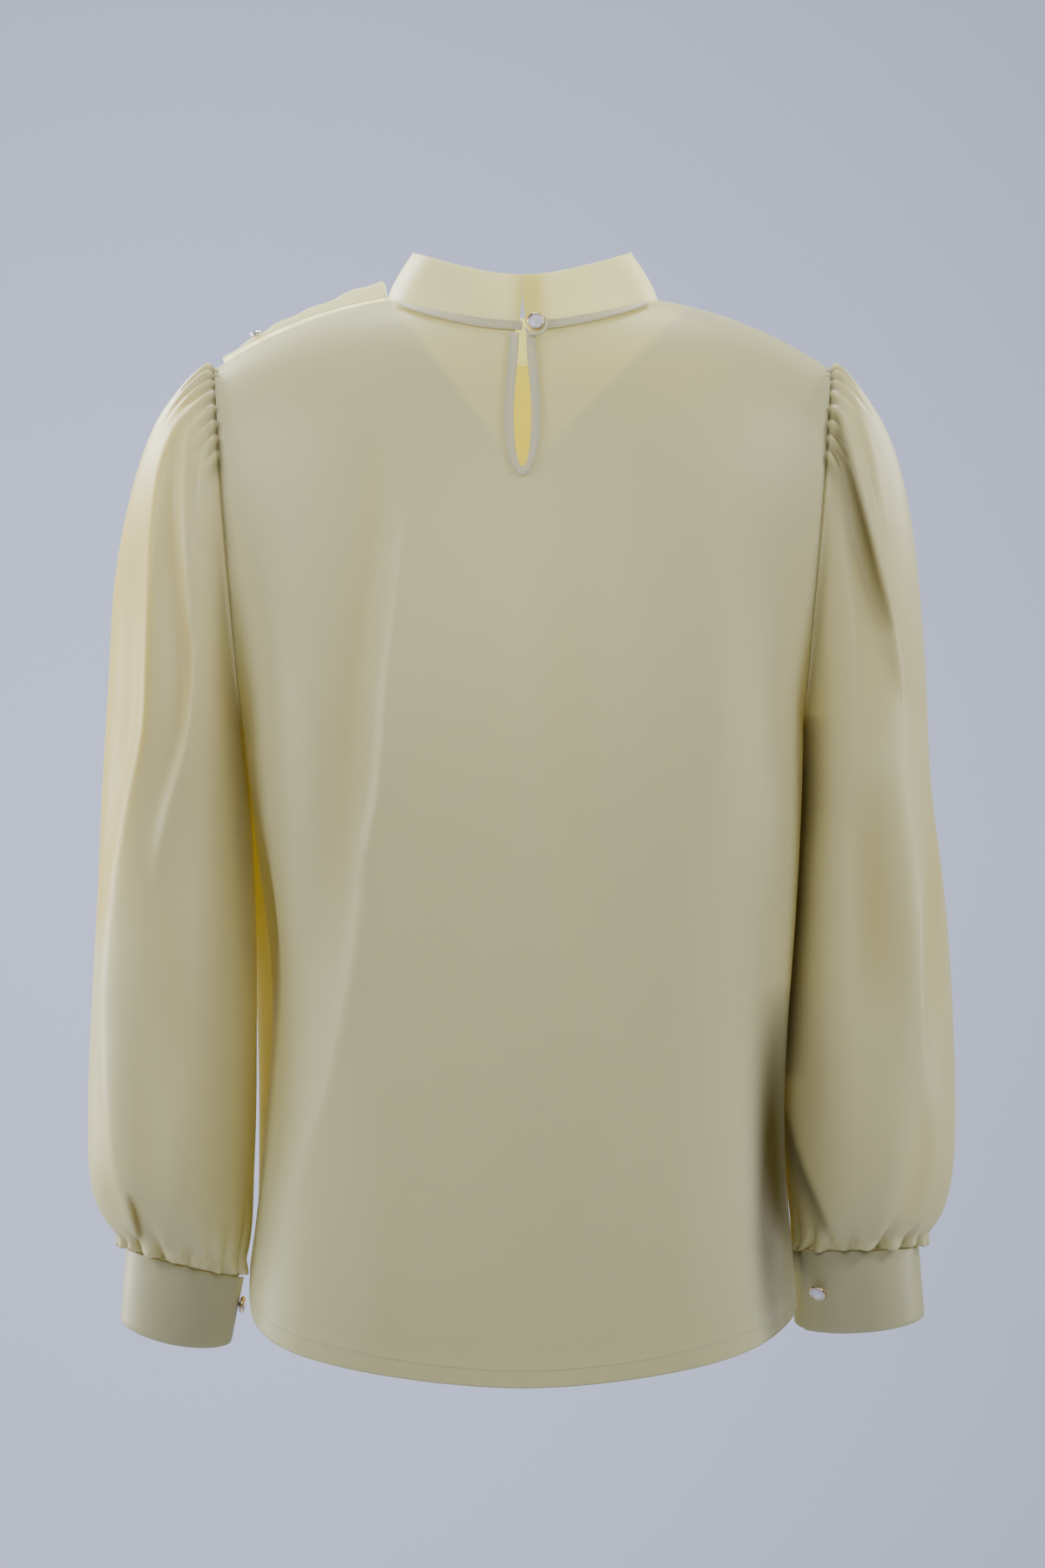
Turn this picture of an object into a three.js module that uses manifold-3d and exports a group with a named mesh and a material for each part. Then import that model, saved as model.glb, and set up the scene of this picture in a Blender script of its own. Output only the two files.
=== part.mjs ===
// A worn blouse, hollow, seen as it hangs on a general figure: back, front, two gathered sleeves on buttoned
// cuffs, a stand collar split at the centre back, bound neck and keyhole, and a drape on the left shoulder.
// Millimetres, +Z up, +Y the wearer's front, +X the wearer's right, origin at the centre of the neck.
import * as THREE from 'three';
import { mergeVertices } from 'three/addons/utils/BufferGeometryUtils.js';
import Module from 'manifold-3d';

const CLOTH = 1.5;
const DOUBLED_CLOTH = 2.0;
const SEAM_GAP = 0.35;
const SHOULDER = { tipX: 194, tipZ: -43, ridgeY: 2, neckX: 86 };
const UNDERARM = { x: 176, z: -272 };
const ARMHOLE_DEPTH_Y = 58;
const HEM_SIDE_Z = -608;
const COLLAR_HEIGHT = 30.5;
const BINDING_WIDTH = 7.0;
const BINDING_THICK = 1.2;
const NECK_BINDING_OFF = 0.5;
const KEYHOLE = { bottomZ: -114, topZ: -24, widest: 9.9, widestZ: -76, mouth: 4 };
const CUFF_THICK = 2.2;
const BUTTON = { radius: 5.6, thick: 2.8 };

const cream = { back: 0xcfc9a4, front: 0xd2ccaa, sleeve: 0xd4cfab, collar: 0xdcd7b0, bind: 0xc2bf9f };
const cloth = (color) => new THREE.MeshStandardMaterial({ color, roughness: 0.55, metalness: 0 });
const metal = () => new THREE.MeshStandardMaterial({ color: 0xc9a878, roughness: 0.25, metalness: 1 });
const pearl = () => new THREE.MeshStandardMaterial({ color: 0xe9e7ec, roughness: 0.2, metalness: 0 });

const blouse = new THREE.Group();

function addMesh(name, geometry, material) {
  const mesh = new THREE.Mesh(geometry, material);
  mesh.name = name;
  blouse.add(mesh);
  return mesh;
}

// A smooth value from a table's rows: a cubic through them with slopes from the neighbours.
function fromTable(rows, key, at, column) {
  let k = 0;
  const rising = rows[rows.length - 1][key] > rows[0][key] ? 1 : -1;
  while (k < rows.length - 2 && (at - rows[k + 1][key]) * rising > 0) k += 1;
  const slope = (i) => {
    const low = rows[Math.max(i - 1, 0)];
    const high = rows[Math.min(i + 1, rows.length - 1)];
    return (high[column] - low[column]) / (high[key] - low[key]);
  };
  const step = rows[k + 1][key] - rows[k][key];
  const t = THREE.MathUtils.clamp((at - rows[k][key]) / step, 0, 1);
  const t2 = t * t;
  const t3 = t2 * t;
  return rows[k][column] * (2 * t3 - 3 * t2 + 1) + slope(k) * step * (t3 - 2 * t2 + t)
    + rows[k + 1][column] * (3 * t2 - 2 * t3) + slope(k + 1) * step * (t3 - t2);
}

const bell = (distance, width) => Math.exp(-((distance / width) ** 2));
const smooth = THREE.MathUtils.smoothstep;

// A closed wall from a grid of points on its outer face. side tells which way the cloth's inner face lies,
// ring joins the last column to the first, and rimNormal may set the direction of the wall at its edges.
function clothWall(grid, { thick = CLOTH, side = 1, ring = false, rimNormal = null } = {}) {
  const rows = grid.length;
  const columns = grid[0].length;
  const at = (j, i) => grid[j][ring ? (i + columns) % columns : THREE.MathUtils.clamp(i, 0, columns - 1)];
  const normalAt = (j, i) => {
    const given = rimNormal && rimNormal(j, i, rows, columns);
    if (given) return given;
    const across = at(j, i + 1).clone().sub(at(j, i - 1));
    const along = grid[Math.min(j + 1, rows - 1)][i].clone().sub(grid[Math.max(j - 1, 0)][i]);
    return across.cross(along).multiplyScalar(side).normalize();
  };
  const outer = grid.flat();
  const inner = grid.flatMap((row, j) => row.map((p, i) => p.clone().addScaledVector(normalAt(j, i), -thick)));
  const index = [];
  const id = (j, i) => j * columns + (ring ? i % columns : i);
  const far = outer.length;
  const quad = (a, b, c, d) => index.push(a, b, c, a, c, d);
  const lastColumn = ring ? columns : columns - 1;
  for (let j = 0; j < rows - 1; j += 1) {
    for (let i = 0; i < lastColumn; i += 1) {
      quad(id(j, i), id(j, i + 1), id(j + 1, i + 1), id(j + 1, i));
      quad(far + id(j, i), far + id(j + 1, i), far + id(j + 1, i + 1), far + id(j, i + 1));
    }
    if (!ring) {
      quad(id(j, 0), id(j + 1, 0), far + id(j + 1, 0), far + id(j, 0));
      quad(id(j, columns - 1), far + id(j, columns - 1), far + id(j + 1, columns - 1), id(j + 1, columns - 1));
    }
  }
  for (let i = 0; i < lastColumn; i += 1) {
    quad(id(0, i), far + id(0, i), far + id(0, i + 1), id(0, i + 1));
    quad(id(rows - 1, i), id(rows - 1, i + 1), far + id(rows - 1, i + 1), far + id(rows - 1, i));
  }
  return facedOut(outer.concat(inner), index);
}

// A geometry whose triangles are turned round if its volume comes out negative.
function facedOut(points, index) {
  let volume = 0;
  for (let k = 0; k < index.length; k += 3) {
    const [a, b, c] = [points[index[k]], points[index[k + 1]], points[index[k + 2]]];
    volume += a.dot(b.clone().cross(c));
  }
  const turned = volume < 0 ? index.slice().reverse() : index;
  const geometry = new THREE.BufferGeometry().setFromPoints(points);
  geometry.setIndex(turned);
  geometry.computeVertexNormals();
  return geometry;
}

// The body panels. v runs from the shoulder line (0) through the underarm (1) to the hem (2), and u from the
// centre line (0) to the armhole and side seam (1 on the wearer's right, -1 on the left).
const SIDE_SEAMS = [
  { z: -272, left: 176, right: 176 }, { z: -340, left: 168.5, right: 170.5 },
  { z: -393, left: 161.5, right: 165.5 }, { z: -430, left: 157.5, right: 161.5 },
  { z: -484, left: 159, right: 157.5 }, { z: -530, left: 163, right: 158 },
  { z: -573, left: 167.5, right: 163 }, { z: -608, left: 172, right: 166.5 },
];
const BACK = {
  front: -1,
  neckV: 0.22,
  centre: [
    { v: 0, z: 6, y: 2 }, { v: 0.1, z: -1, y: -30 }, { v: 0.22, z: -17, y: -56 }, { v: 0.35, z: -48, y: -81 },
    { v: 0.5, z: -102, y: -101 }, { v: 0.7, z: -180, y: -112 }, { v: 1, z: -268, y: -113 },
    { v: 1.35, z: -385, y: -108 }, { v: 1.7, z: -540, y: -109 }, { v: 2, z: -677, y: -113 },
  ],
  folds: [
    { name: 'left blade fold', u: -0.42, drift: 0.1, from: 0.8, to: 1.9, width: 0.1, rise: 3.5 },
    { name: 'left side pinch', u: -0.84, drift: 0, from: 1.05, to: 1.6, width: 0.12, rise: -7 },
    { name: 'right side swell', u: 0.78, drift: 0, from: 1, to: 2.6, width: 0.13, rise: 8 },
    { name: 'right waist swell', u: 0.8, drift: 0, from: 0.7, to: 1.9, width: 0.12, rise: 5 },
    { name: 'centre hang', u: 0.1, drift: 0.14, from: 1, to: 2.3, width: 0.14, rise: 2.5 },
  ],
};
const FRONT = {
  front: 1,
  neckV: 0.27,
  centre: [
    { v: 0, z: 6, y: 2 }, { v: 0.1, z: -5, y: 28 }, { v: 0.27, z: -38, y: 55 }, { v: 0.5, z: -100, y: 82 },
    { v: 0.7, z: -170, y: 104 }, { v: 1, z: -262, y: 118 }, { v: 1.35, z: -380, y: 112 },
    { v: 1.7, z: -530, y: 107 }, { v: 2, z: -664, y: 110 },
  ],
  folds: [
    { name: 'left bust fold', u: -0.5, drift: 0.08, from: 0.8, to: 2.2, width: 0.1, rise: 5 },
    { name: 'right bust fold', u: 0.46, drift: -0.06, from: 0.85, to: 2.2, width: 0.1, rise: 5 },
    { name: 'left side swell', u: -0.74, drift: 0, from: 0.7, to: 2.1, width: 0.11, rise: 19 },
    { name: 'right side pinch', u: 0.84, drift: 0, from: 1.1, to: 1.9, width: 0.08, rise: -4 },
    { name: 'low right side swell', u: 0.76, drift: 0, from: 1.3, to: 2.7, width: 0.11, rise: 8 },
  ],
};
// How far a section has turned from the back or front to the seam, and how square its corners are.
const SECTION = [
  { v: 0, turn: 0.8, square: 2 }, { v: 0.5, turn: 0.72, square: 2 }, { v: 0.8, turn: 0.88, square: 2.4 },
  { v: 1, turn: 1, square: 2.7 }, { v: 1.5, turn: 1, square: 2.8 }, { v: 2, turn: 1, square: 3.3 },
];
const SHOULDER_SLOPE_SHAPE = 2.7;
const SWELL_HELD_NEAR_SEAM = 0.08;
const HEM_SHAPE = 1.85;
const NECK_SHAPE = 0.6;

function seamAt(u, v, front) {
  if (v > 1) {
    const z = THREE.MathUtils.lerp(UNDERARM.z, HEM_SIDE_Z, v - 1);
    return { x: fromTable(SIDE_SEAMS, 'z', z, u < 0 ? 'left' : 'right'), y: SHOULDER.ridgeY, z };
  }
  const angle = Math.PI * Math.max(v, 0);
  const round = (1 - Math.cos(angle)) / 2;
  return {
    x: THREE.MathUtils.lerp(SHOULDER.tipX, UNDERARM.x, round),
    y: SHOULDER.ridgeY + front * ARMHOLE_DEPTH_Y * Math.sin(angle),
    z: THREE.MathUtils.lerp(SHOULDER.tipZ, UNDERARM.z, round),
  };
}

// The share of the half-width (out) and of the depth (back) that a section has at u.
function sectionAt(u, v) {
  const turn = fromTable(SECTION, 'v', v, 'turn') * Math.PI / 2;
  const square = fromTable(SECTION, 'v', v, 'square');
  const reach = (angle) => (Math.abs(Math.cos(angle)) ** square + Math.abs(Math.sin(angle)) ** square) ** (-1 / square);
  const [here, end] = [reach(u * turn), reach(turn)];
  const endDepth = Math.cos(turn) * end;
  return {
    out: Math.sin(u * turn) * here / (Math.sin(turn) * end),
    back: (Math.cos(u * turn) * here - endDepth) / (1 - endDepth),
  };
}

function panelPoint(panel, u, v) {
  const seam = seamAt(u, v, panel.front);
  const section = sectionAt(u, v);
  const centreY = fromTable(panel.centre, 'v', v, 'y');
  const centreZ = fromTable(panel.centre, 'v', v, 'z');
  const slopeShare = 1 - Math.abs(section.out) ** SHOULDER_SLOPE_SHAPE;
  const hemShare = 1 - Math.abs(u) ** HEM_SHAPE;
  const share = THREE.MathUtils.lerp(slopeShare, hemShare, smooth(v, 0.8, 1.2));
  let rise = 0;
  for (const fold of panel.folds) {
    const along = THREE.MathUtils.clamp((v - fold.from) / (fold.to - fold.from), 0, 1);
    rise += fold.rise * Math.sin(Math.PI * along) ** 2 * bell(u - fold.u - fold.drift * along, fold.width);
  }
  rise *= smooth(1 - Math.abs(u), 0, SWELL_HELD_NEAR_SEAM);
  const outward = new THREE.Vector2(section.out, panel.front * section.back).normalize();
  return new THREE.Vector3(
    seam.x * section.out + outward.x * rise,
    seam.y + (centreY - seam.y) * section.back + outward.y * rise,
    seam.z + (centreZ - seam.z) * share,
  );
}

function panelNormal(panel, u, v) {
  const d = 0.004;
  const across = panelPoint(panel, u + d, v).sub(panelPoint(panel, u - d, v));
  const along = panelPoint(panel, u, v + d).sub(panelPoint(panel, u, Math.max(v - d, 0)));
  return across.cross(along).multiplyScalar(panel.front).normalize();
}

const onPanel = (panel, u, v, off) => panelPoint(panel, u, v).addScaledVector(panelNormal(panel, u, v), off);

// The u at which the shoulder line meets the neck, and the v of the neck's edge.
const shoulderTurn = SECTION[0].turn * Math.PI / 2;
const NECK_U = Math.asin(SHOULDER.neckX / SHOULDER.tipX * Math.sin(shoulderTurn)) / shoulderTurn;
const neckEdgeV = (panel, u) => panel.neckV * Math.max(0, 1 - (u / NECK_U) ** 2) ** NECK_SHAPE;

const NECK_STEPS = 6;
const SHOULDER_STEPS = 7;
function panelColumns() {
  const half = [];
  for (let i = 0; i <= NECK_STEPS; i += 1) half.push(NECK_U * Math.sin(Math.PI / 2 * i / NECK_STEPS));
  for (let i = 1; i <= SHOULDER_STEPS; i += 1) half.push(THREE.MathUtils.lerp(NECK_U, 1, i / SHOULDER_STEPS));
  return half.slice(1).reverse().map((u) => -u).concat(half);
}

const ROWS_TO_UNDERARM = 10;
const ROWS_TO_HEM = 11;
function bodyPanel(panel) {
  const columns = panelColumns();
  const rowCount = ROWS_TO_UNDERARM + ROWS_TO_HEM;
  const grid = [];
  for (let j = 0; j <= rowCount; j += 1) {
    const v = j < ROWS_TO_UNDERARM ? j / ROWS_TO_UNDERARM : 1 + (j - ROWS_TO_UNDERARM) / ROWS_TO_HEM;
    grid.push(columns.map((u) => {
      const top = neckEdgeV(panel, u);
      const p = panelPoint(panel, u, top + (2 - top) * v / 2);
      const seam = Math.abs(u) === 1 && v >= 1 || Math.abs(u) >= NECK_U && v === 0;
      if (seam) p.y += panel.front * SEAM_GAP / 2;
      return p;
    }));
  }
  const shoulderUp = new THREE.Vector3(0.33, 0, 0.94);
  return clothWall(grid, {
    side: panel.front,
    rimNormal: (j, i, rows, count) => {
      const u = columns[i];
      if (j === 0 && Math.abs(u) >= NECK_U) return shoulderUp.clone().setX(shoulderUp.x * Math.sign(u));
      const atSide = (i === 0 || i === count - 1) && j >= ROWS_TO_UNDERARM;
      return atSide ? new THREE.Vector3(Math.sign(u), 0, 0) : null;
    },
  });
}

// The keyhole: a drop cut out of the back, open at the neck, with its binding laid round it.
function keyholeHalfWidth(z, grow) {
  const k = KEYHOLE;
  if (z > k.widestZ) {
    const up = smooth(z, k.widestZ, k.topZ);
    return THREE.MathUtils.lerp(k.widest, k.mouth, up) / 2 + grow;
  }
  const down = (k.widestZ - z) / (k.widestZ - k.bottomZ + grow);
  return (k.widest / 2 + grow) * Math.sqrt(Math.max(0, 1 - down ** 2.2));
}

function keyholeOutline(grow, steps, topZ) {
  const side = [];
  const low = KEYHOLE.bottomZ - grow;
  for (let i = 0; i <= steps; i += 1) {
    const z = low + (topZ - low) * (1 - Math.cos(Math.PI / 2 * i / steps));
    side.push(new THREE.Vector2(keyholeHalfWidth(z, grow), z));
  }
  return side;
}

function backAt(x, z) {
  let [u, v] = [x / SHOULDER.tipX, 0.4];
  for (let k = 0; k < 12; k += 1) {
    const p = panelPoint(BACK, u, v);
    const d = 0.002;
    const du = panelPoint(BACK, u + d, v).sub(p).divideScalar(d);
    const dv = panelPoint(BACK, u, v + d).sub(p).divideScalar(d);
    const det = du.x * dv.z - du.z * dv.x;
    u += ((x - p.x) * dv.z - (z - p.z) * dv.x) / det;
    v += (du.x * (z - p.z) - du.z * (x - p.x)) / det;
    v = Math.max(v, 0.02);
  }
  return { u, v };
}

function onBack(x, z, off) {
  const { u, v } = backAt(x, z);
  return onPanel(BACK, u, v, off);
}

const wasm = await Module();
wasm.setup();

function asManifold(geometry) {
  const bare = geometry.clone();
  bare.deleteAttribute('normal');
  bare.deleteAttribute('uv');
  const merged = mergeVertices(bare, 1e-4);
  const mesh = new wasm.Mesh({
    numProp: 3,
    vertProperties: new Float32Array(merged.attributes.position.array),
    triVerts: new Uint32Array(merged.index.array),
  });
  return new wasm.Manifold(mesh);
}

function asGeometry(solid) {
  const mesh = solid.getMesh();
  const geometry = new THREE.BufferGeometry();
  geometry.setAttribute('position', new THREE.BufferAttribute(new Float32Array(mesh.vertProperties), 3));
  geometry.setIndex(new THREE.BufferAttribute(new Uint32Array(mesh.triVerts), 1));
  geometry.computeVertexNormals();
  return geometry;
}

const KEYHOLE_CLEARANCE = 2;
function backWithKeyhole() {
  const right = keyholeOutline(KEYHOLE_CLEARANCE, 8, KEYHOLE.topZ + 40);
  const left = right.slice(1).reverse().map((p) => new THREE.Vector2(-p.x, p.y));
  const shape = new THREE.Shape(left.concat(right).map((p) => new THREE.Vector2(p.x, p.y)));
  const cutter = new THREE.ExtrudeGeometry(shape, { depth: 110, bevelEnabled: false });
  cutter.rotateX(Math.PI / 2);
  cutter.translate(0, -20, 0);
  return asGeometry(asManifold(bodyPanel(BACK)).subtract(asManifold(cutter)));
}

addMesh('back', backWithKeyhole(), cloth(cream.back));
addMesh('front', bodyPanel(FRONT), cloth(cream.front));

// Bindings: strips laid on the back, 0.35 mm above it.
const KEYHOLE_BINDING_TOP = -25;
function keyholeBinding() {
  const steps = 11;
  const inner = keyholeOutline(0.3, steps, KEYHOLE_BINDING_TOP);
  const outer = keyholeOutline(BINDING_WIDTH - 0.4, steps, KEYHOLE_BINDING_TOP);
  const middle = inner.map((p, k) => p.clone().lerp(outer[k], 0.5));
  const lift = [SEAM_GAP + BINDING_THICK, SEAM_GAP + BINDING_THICK + 0.4, SEAM_GAP + BINDING_THICK];
  const paths = [inner, middle, outer].map((path, k) => {
    const left = path.slice(1).reverse().map((p) => new THREE.Vector2(-p.x, p.y));
    return left.concat(path).map((p) => onBack(p.x, p.y, lift[k]));
  });
  return clothWall(paths, { thick: BINDING_THICK, side: -1 });
}

function neckBinding(fromU, toU, steps) {
  const widths = [0.2, BINDING_WIDTH / 2, BINDING_WIDTH];
  const grid = widths.map((width, k) => {
    const row = [];
    for (let i = 0; i <= steps; i += 1) {
      const u = THREE.MathUtils.lerp(fromU, toU, i / steps);
      const v = neckEdgeV(BACK, u);
      const perV = panelPoint(BACK, u, v + 0.01).distanceTo(panelPoint(BACK, u, v)) / 0.01;
      row.push(onPanel(BACK, u, v + width / perV, NECK_BINDING_OFF + BINDING_THICK + (k === 1 ? 0.4 : 0)));
    }
    return row;
  });
  return clothWall(grid, { thick: BINDING_THICK, side: -1 });
}

addMesh('keyhole_binding', keyholeBinding(), cloth(cream.bind));

// The collar: one doubled strip round the neck, its two ends at the centre back.
const COLLAR_ROWS = [
  { up: 0, in: 0 }, { up: 0.3, in: 0.22 }, { up: 0.65, in: 0.58 }, { up: 1, in: 1 },
];
const COLLAR_SPLIT = 0.45;
const COLLAR_GAP_AT_BASE = 2.2;
function collarBase(angle) {
  const panel = Math.cos(angle) > 0 ? BACK : FRONT;
  const u = -NECK_U * Math.sin(angle);
  return panelPoint(panel, u, neckEdgeV(panel, u));
}
function collar() {
  const steps = 4 * NECK_STEPS;
  const grid = COLLAR_ROWS.map((row) => {
    const points = [];
    for (let i = 0; i <= steps; i += 1) {
      const angle = 2 * Math.PI * i / steps;
      const p = collarBase(angle);
      p.x *= 1 - 0.2 * row.in;
      p.y -= (p.y - SHOULDER.ridgeY) * 0.14 * row.in;
      p.x += 0.5 * Math.sin(angle);
      p.y += 0.5 * Math.cos(angle);
      p.z += SEAM_GAP + COLLAR_HEIGHT * row.up;
      if (i === 0 || i === steps) {
        const open = COLLAR_SPLIT + COLLAR_GAP_AT_BASE * Math.max(0, 1 - row.up / 0.5);
        p.x = (i === 0 ? -1 : 1) * open;
      }
      points.push(p);
    }
    return points;
  });
  return clothWall(grid, {
    thick: DOUBLED_CLOTH,
    side: 1,
    rimNormal: (j, i) => {
      const angle = 2 * Math.PI * i / steps;
      return new THREE.Vector3(-Math.sin(angle), -Math.cos(angle), 0.1).normalize();
    },
  });
}
addMesh('collar', collar(), cloth(cream.collar));

// The two ends of the neck binding: the left one runs past the keyhole, the right one starts beside the button.
const NECK_ENDS = { left: -0.4, right: 14.5 };
const uAtNeck = (x) => Math.asin(x / SHOULDER.neckX) / (Math.PI / 2) * NECK_U;
addMesh('neck_binding_left', neckBinding(-NECK_U * 0.99, uAtNeck(NECK_ENDS.left), 9), cloth(cream.bind));
addMesh('neck_binding_right', neckBinding(uAtNeck(NECK_ENDS.right), NECK_U * 0.99, 9), cloth(cream.bind));

// A sleeve is rings from the armhole to the cuff. Each ring has its outer and its inner point, half its depth
// front to back, and how much of the head's gathers and of the cuff's gathers it shows.
const LEFT_SLEEVE = {
  side: -1,
  rings: [
    { outX: 194, outZ: -43, inX: 176, inZ: -272, deep: 58, mid: 2, head: 0.4, cuff: 0 },
    { outX: 203, outZ: -46, inX: 177.2, inZ: -275, deep: 60, mid: 2, head: 1, cuff: 0 },
    { outX: 216, outZ: -56, inX: 178, inZ: -279, deep: 63, mid: 2, head: 0.9, cuff: 0 },
    { outX: 229, outZ: -72, inX: 178, inZ: -285, deep: 65.5, mid: 2, head: 0.6, cuff: 0 },
    { outX: 240, outZ: -97, inX: 176.6, inZ: -292, deep: 68, mid: 2, head: 0.3, cuff: 0 },
    { outX: 250, outZ: -133, inX: 175, inZ: -301, deep: 70, mid: 2, head: 0.1, cuff: 0 },
    { outX: 258, outZ: -180, inX: 173.5, inZ: -315, deep: 71, mid: 3, head: 0, cuff: 0 },
    { outX: 261.5, outZ: -240, inX: 171.8, inZ: -340, deep: 70, mid: 4, head: 0, cuff: 0 },
    { outX: 265.5, outZ: -305, inX: 169.6, inZ: -376, deep: 69, mid: 5, head: 0, cuff: 0 },
    { outX: 268.5, outZ: -375, inX: 168, inZ: -416, deep: 69, mid: 6, head: 0, cuff: 0 },
    { outX: 272.5, outZ: -445, inX: 168, inZ: -462, deep: 69, mid: 8, head: 0, cuff: 0.05 },
    { outX: 275, outZ: -510, inX: 168.5, inZ: -514, deep: 68, mid: 10, head: 0, cuff: 0.2 },
    { outX: 274, outZ: -552, inX: 170, inZ: -555, deep: 64, mid: 11, head: 0, cuff: 0.5 },
    { outX: 268, outZ: -574, inX: 170.5, inZ: -582, deep: 57, mid: 12, head: 0, cuff: 0.9 },
    { outX: 259, outZ: -588, inX: 173.5, inZ: -602, deep: 47, mid: 12, head: 0, cuff: 1 },
    { outX: 251, outZ: -597.5, inX: 179, inZ: -616, deep: 35, mid: 12, head: 0, cuff: 0.25 },
  ],
  folds: [
    { name: 'long crest', from: 1, to: 10.5, width: 15, rise: 7,
      path: [{ ring: 1, at: -52 }, { ring: 3, at: -58 }, { ring: 6, at: -66 }, { ring: 8, at: -52 }, { ring: 11, at: -34 }] },
    { name: 'outer valley', from: 2, to: 9.5, width: 11, rise: -6,
      path: [{ ring: 2, at: -36 }, { ring: 6, at: -45 }, { ring: 8, at: -36 }, { ring: 10, at: -28 }] },
    { name: 'inner crest', from: 1, to: 9, width: 14, rise: 5,
      path: [{ ring: 1, at: -70 }, { ring: 4, at: -98 }, { ring: 7, at: -112 }, { ring: 9, at: -82 }] },
    { name: 'middle valley', from: 2, to: 9.5, width: 11, rise: -5,
      path: [{ ring: 2, at: -68 }, { ring: 5, at: -84 }, { ring: 8, at: -84 }, { ring: 10, at: -58 }] },
    { name: 'front crest', from: 1, to: 11, width: 15, rise: 6,
      path: [{ ring: 1, at: 50 }, { ring: 6, at: 70 }, { ring: 11, at: 50 }] },
    { name: 'front valley', from: 2, to: 11, width: 13, rise: -5,
      path: [{ ring: 2, at: 76 }, { ring: 6, at: 100 }, { ring: 11, at: 82 }] },
  ],
};
const RIGHT_SLEEVE = {
  side: 1,
  rings: [
    { outX: 194, outZ: -43, inX: 176, inZ: -272, deep: 58, mid: 2, head: 0.4, cuff: 0 },
    { outX: 202, outZ: -46, inX: 177.2, inZ: -275, deep: 60, mid: 2, head: 1, cuff: 0 },
    { outX: 213, outZ: -56, inX: 178, inZ: -279, deep: 63, mid: 2, head: 0.9, cuff: 0 },
    { outX: 225, outZ: -72, inX: 178, inZ: -285, deep: 65.5, mid: 2, head: 0.6, cuff: 0 },
    { outX: 236, outZ: -97, inX: 177, inZ: -292, deep: 68, mid: 2, head: 0.3, cuff: 0 },
    { outX: 244.5, outZ: -133, inX: 175.2, inZ: -301, deep: 70, mid: 2, head: 0.1, cuff: 0 },
    { outX: 250.5, outZ: -180, inX: 174, inZ: -315, deep: 71, mid: 3, head: 0, cuff: 0 },
    { outX: 255, outZ: -240, inX: 172.6, inZ: -340, deep: 70, mid: 4, head: 0, cuff: 0 },
    { outX: 258, outZ: -305, inX: 169.5, inZ: -376, deep: 69, mid: 5, head: 0, cuff: 0 },
    { outX: 267, outZ: -375, inX: 166.5, inZ: -416, deep: 69, mid: 6, head: 0, cuff: 0 },
    { outX: 272, outZ: -445, inX: 163.5, inZ: -462, deep: 69, mid: 8, head: 0, cuff: 0.05 },
    { outX: 274, outZ: -510, inX: 163.5, inZ: -514, deep: 68, mid: 10, head: 0, cuff: 0.2 },
    { outX: 272.5, outZ: -548, inX: 166, inZ: -550, deep: 64, mid: 11, head: 0, cuff: 0.5 },
    { outX: 267, outZ: -573, inX: 168.5, inZ: -576, deep: 57, mid: 12, head: 0, cuff: 0.9 },
    { outX: 259, outZ: -587, inX: 169.5, inZ: -590, deep: 47, mid: 12, head: 0, cuff: 1 },
    { outX: 251, outZ: -596.5, inX: 170, inZ: -598.5, deep: 36, mid: 12, head: 0, cuff: 0.25 },
  ],
  folds: [
    { name: 'outer crest', from: 1, to: 8, width: 13, rise: 6,
      path: [{ ring: 1, at: -40 }, { ring: 4, at: -44 }, { ring: 8, at: -46 }] },
    { name: 'back valley', from: 1, to: 8, width: 12, rise: -8,
      path: [{ ring: 1, at: -68 }, { ring: 4, at: -86 }, { ring: 8, at: -62 }] },
    { name: 'elbow crest', from: 7, to: 13, width: 14, rise: 5,
      path: [{ ring: 7, at: -30 }, { ring: 10, at: -34 }, { ring: 13, at: -44 }] },
    { name: 'elbow valley', from: 7, to: 12, width: 12, rise: -5,
      path: [{ ring: 7, at: -60 }, { ring: 12, at: -64 }] },
    { name: 'inner dimple', from: 6.5, to: 10, width: 16, rise: -7,
      path: [{ ring: 6.5, at: -128 }, { ring: 10, at: -118 }] },
    { name: 'cuff diagonal', from: 10, to: 14.6, width: 13, rise: 5,
      path: [{ ring: 10, at: -150 }, { ring: 14.6, at: -92 }] },
    { name: 'front crest', from: 1, to: 11, width: 15, rise: 6,
      path: [{ ring: 1, at: 52 }, { ring: 6, at: 68 }, { ring: 11, at: 52 }] },
    { name: 'front valley', from: 2, to: 11, width: 13, rise: -5,
      path: [{ ring: 2, at: 78 }, { ring: 6, at: 98 }, { ring: 11, at: 80 }] },
  ],
};
const HEAD_GATHERS = { count: 18, spread: 56, deep: 1.7 };
const CUFF_GATHERS = { count: 14, deep: 2.6 };
const PLAIN_STEPS = 18;

// Where a sleeve's points lie round a ring, in degrees: 0 is the outer side, -90 the back and 90 the front.
// The gathered head has two points for each gather, a crest and a trough.
function sleeveAngles() {
  const { count, spread } = HEAD_GATHERS;
  const angles = [];
  for (let i = 0; i <= 2 * count; i += 1) angles.push(-spread + spread * i / count);
  for (let i = 1; i < PLAIN_STEPS; i += 1) angles.push(spread + (360 - 2 * spread) * i / PLAIN_STEPS);
  return angles;
}

function foldRise(folds, ring, angle) {
  let rise = 0;
  for (const fold of folds) {
    const along = THREE.MathUtils.clamp((ring - fold.from) / (fold.to - fold.from), 0, 1);
    const at = fromTable(fold.path, 'ring', ring, 'at');
    rise += fold.rise * Math.sin(Math.PI * along ** 0.8) * bell(angle - at, fold.width);
  }
  return rise;
}

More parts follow.
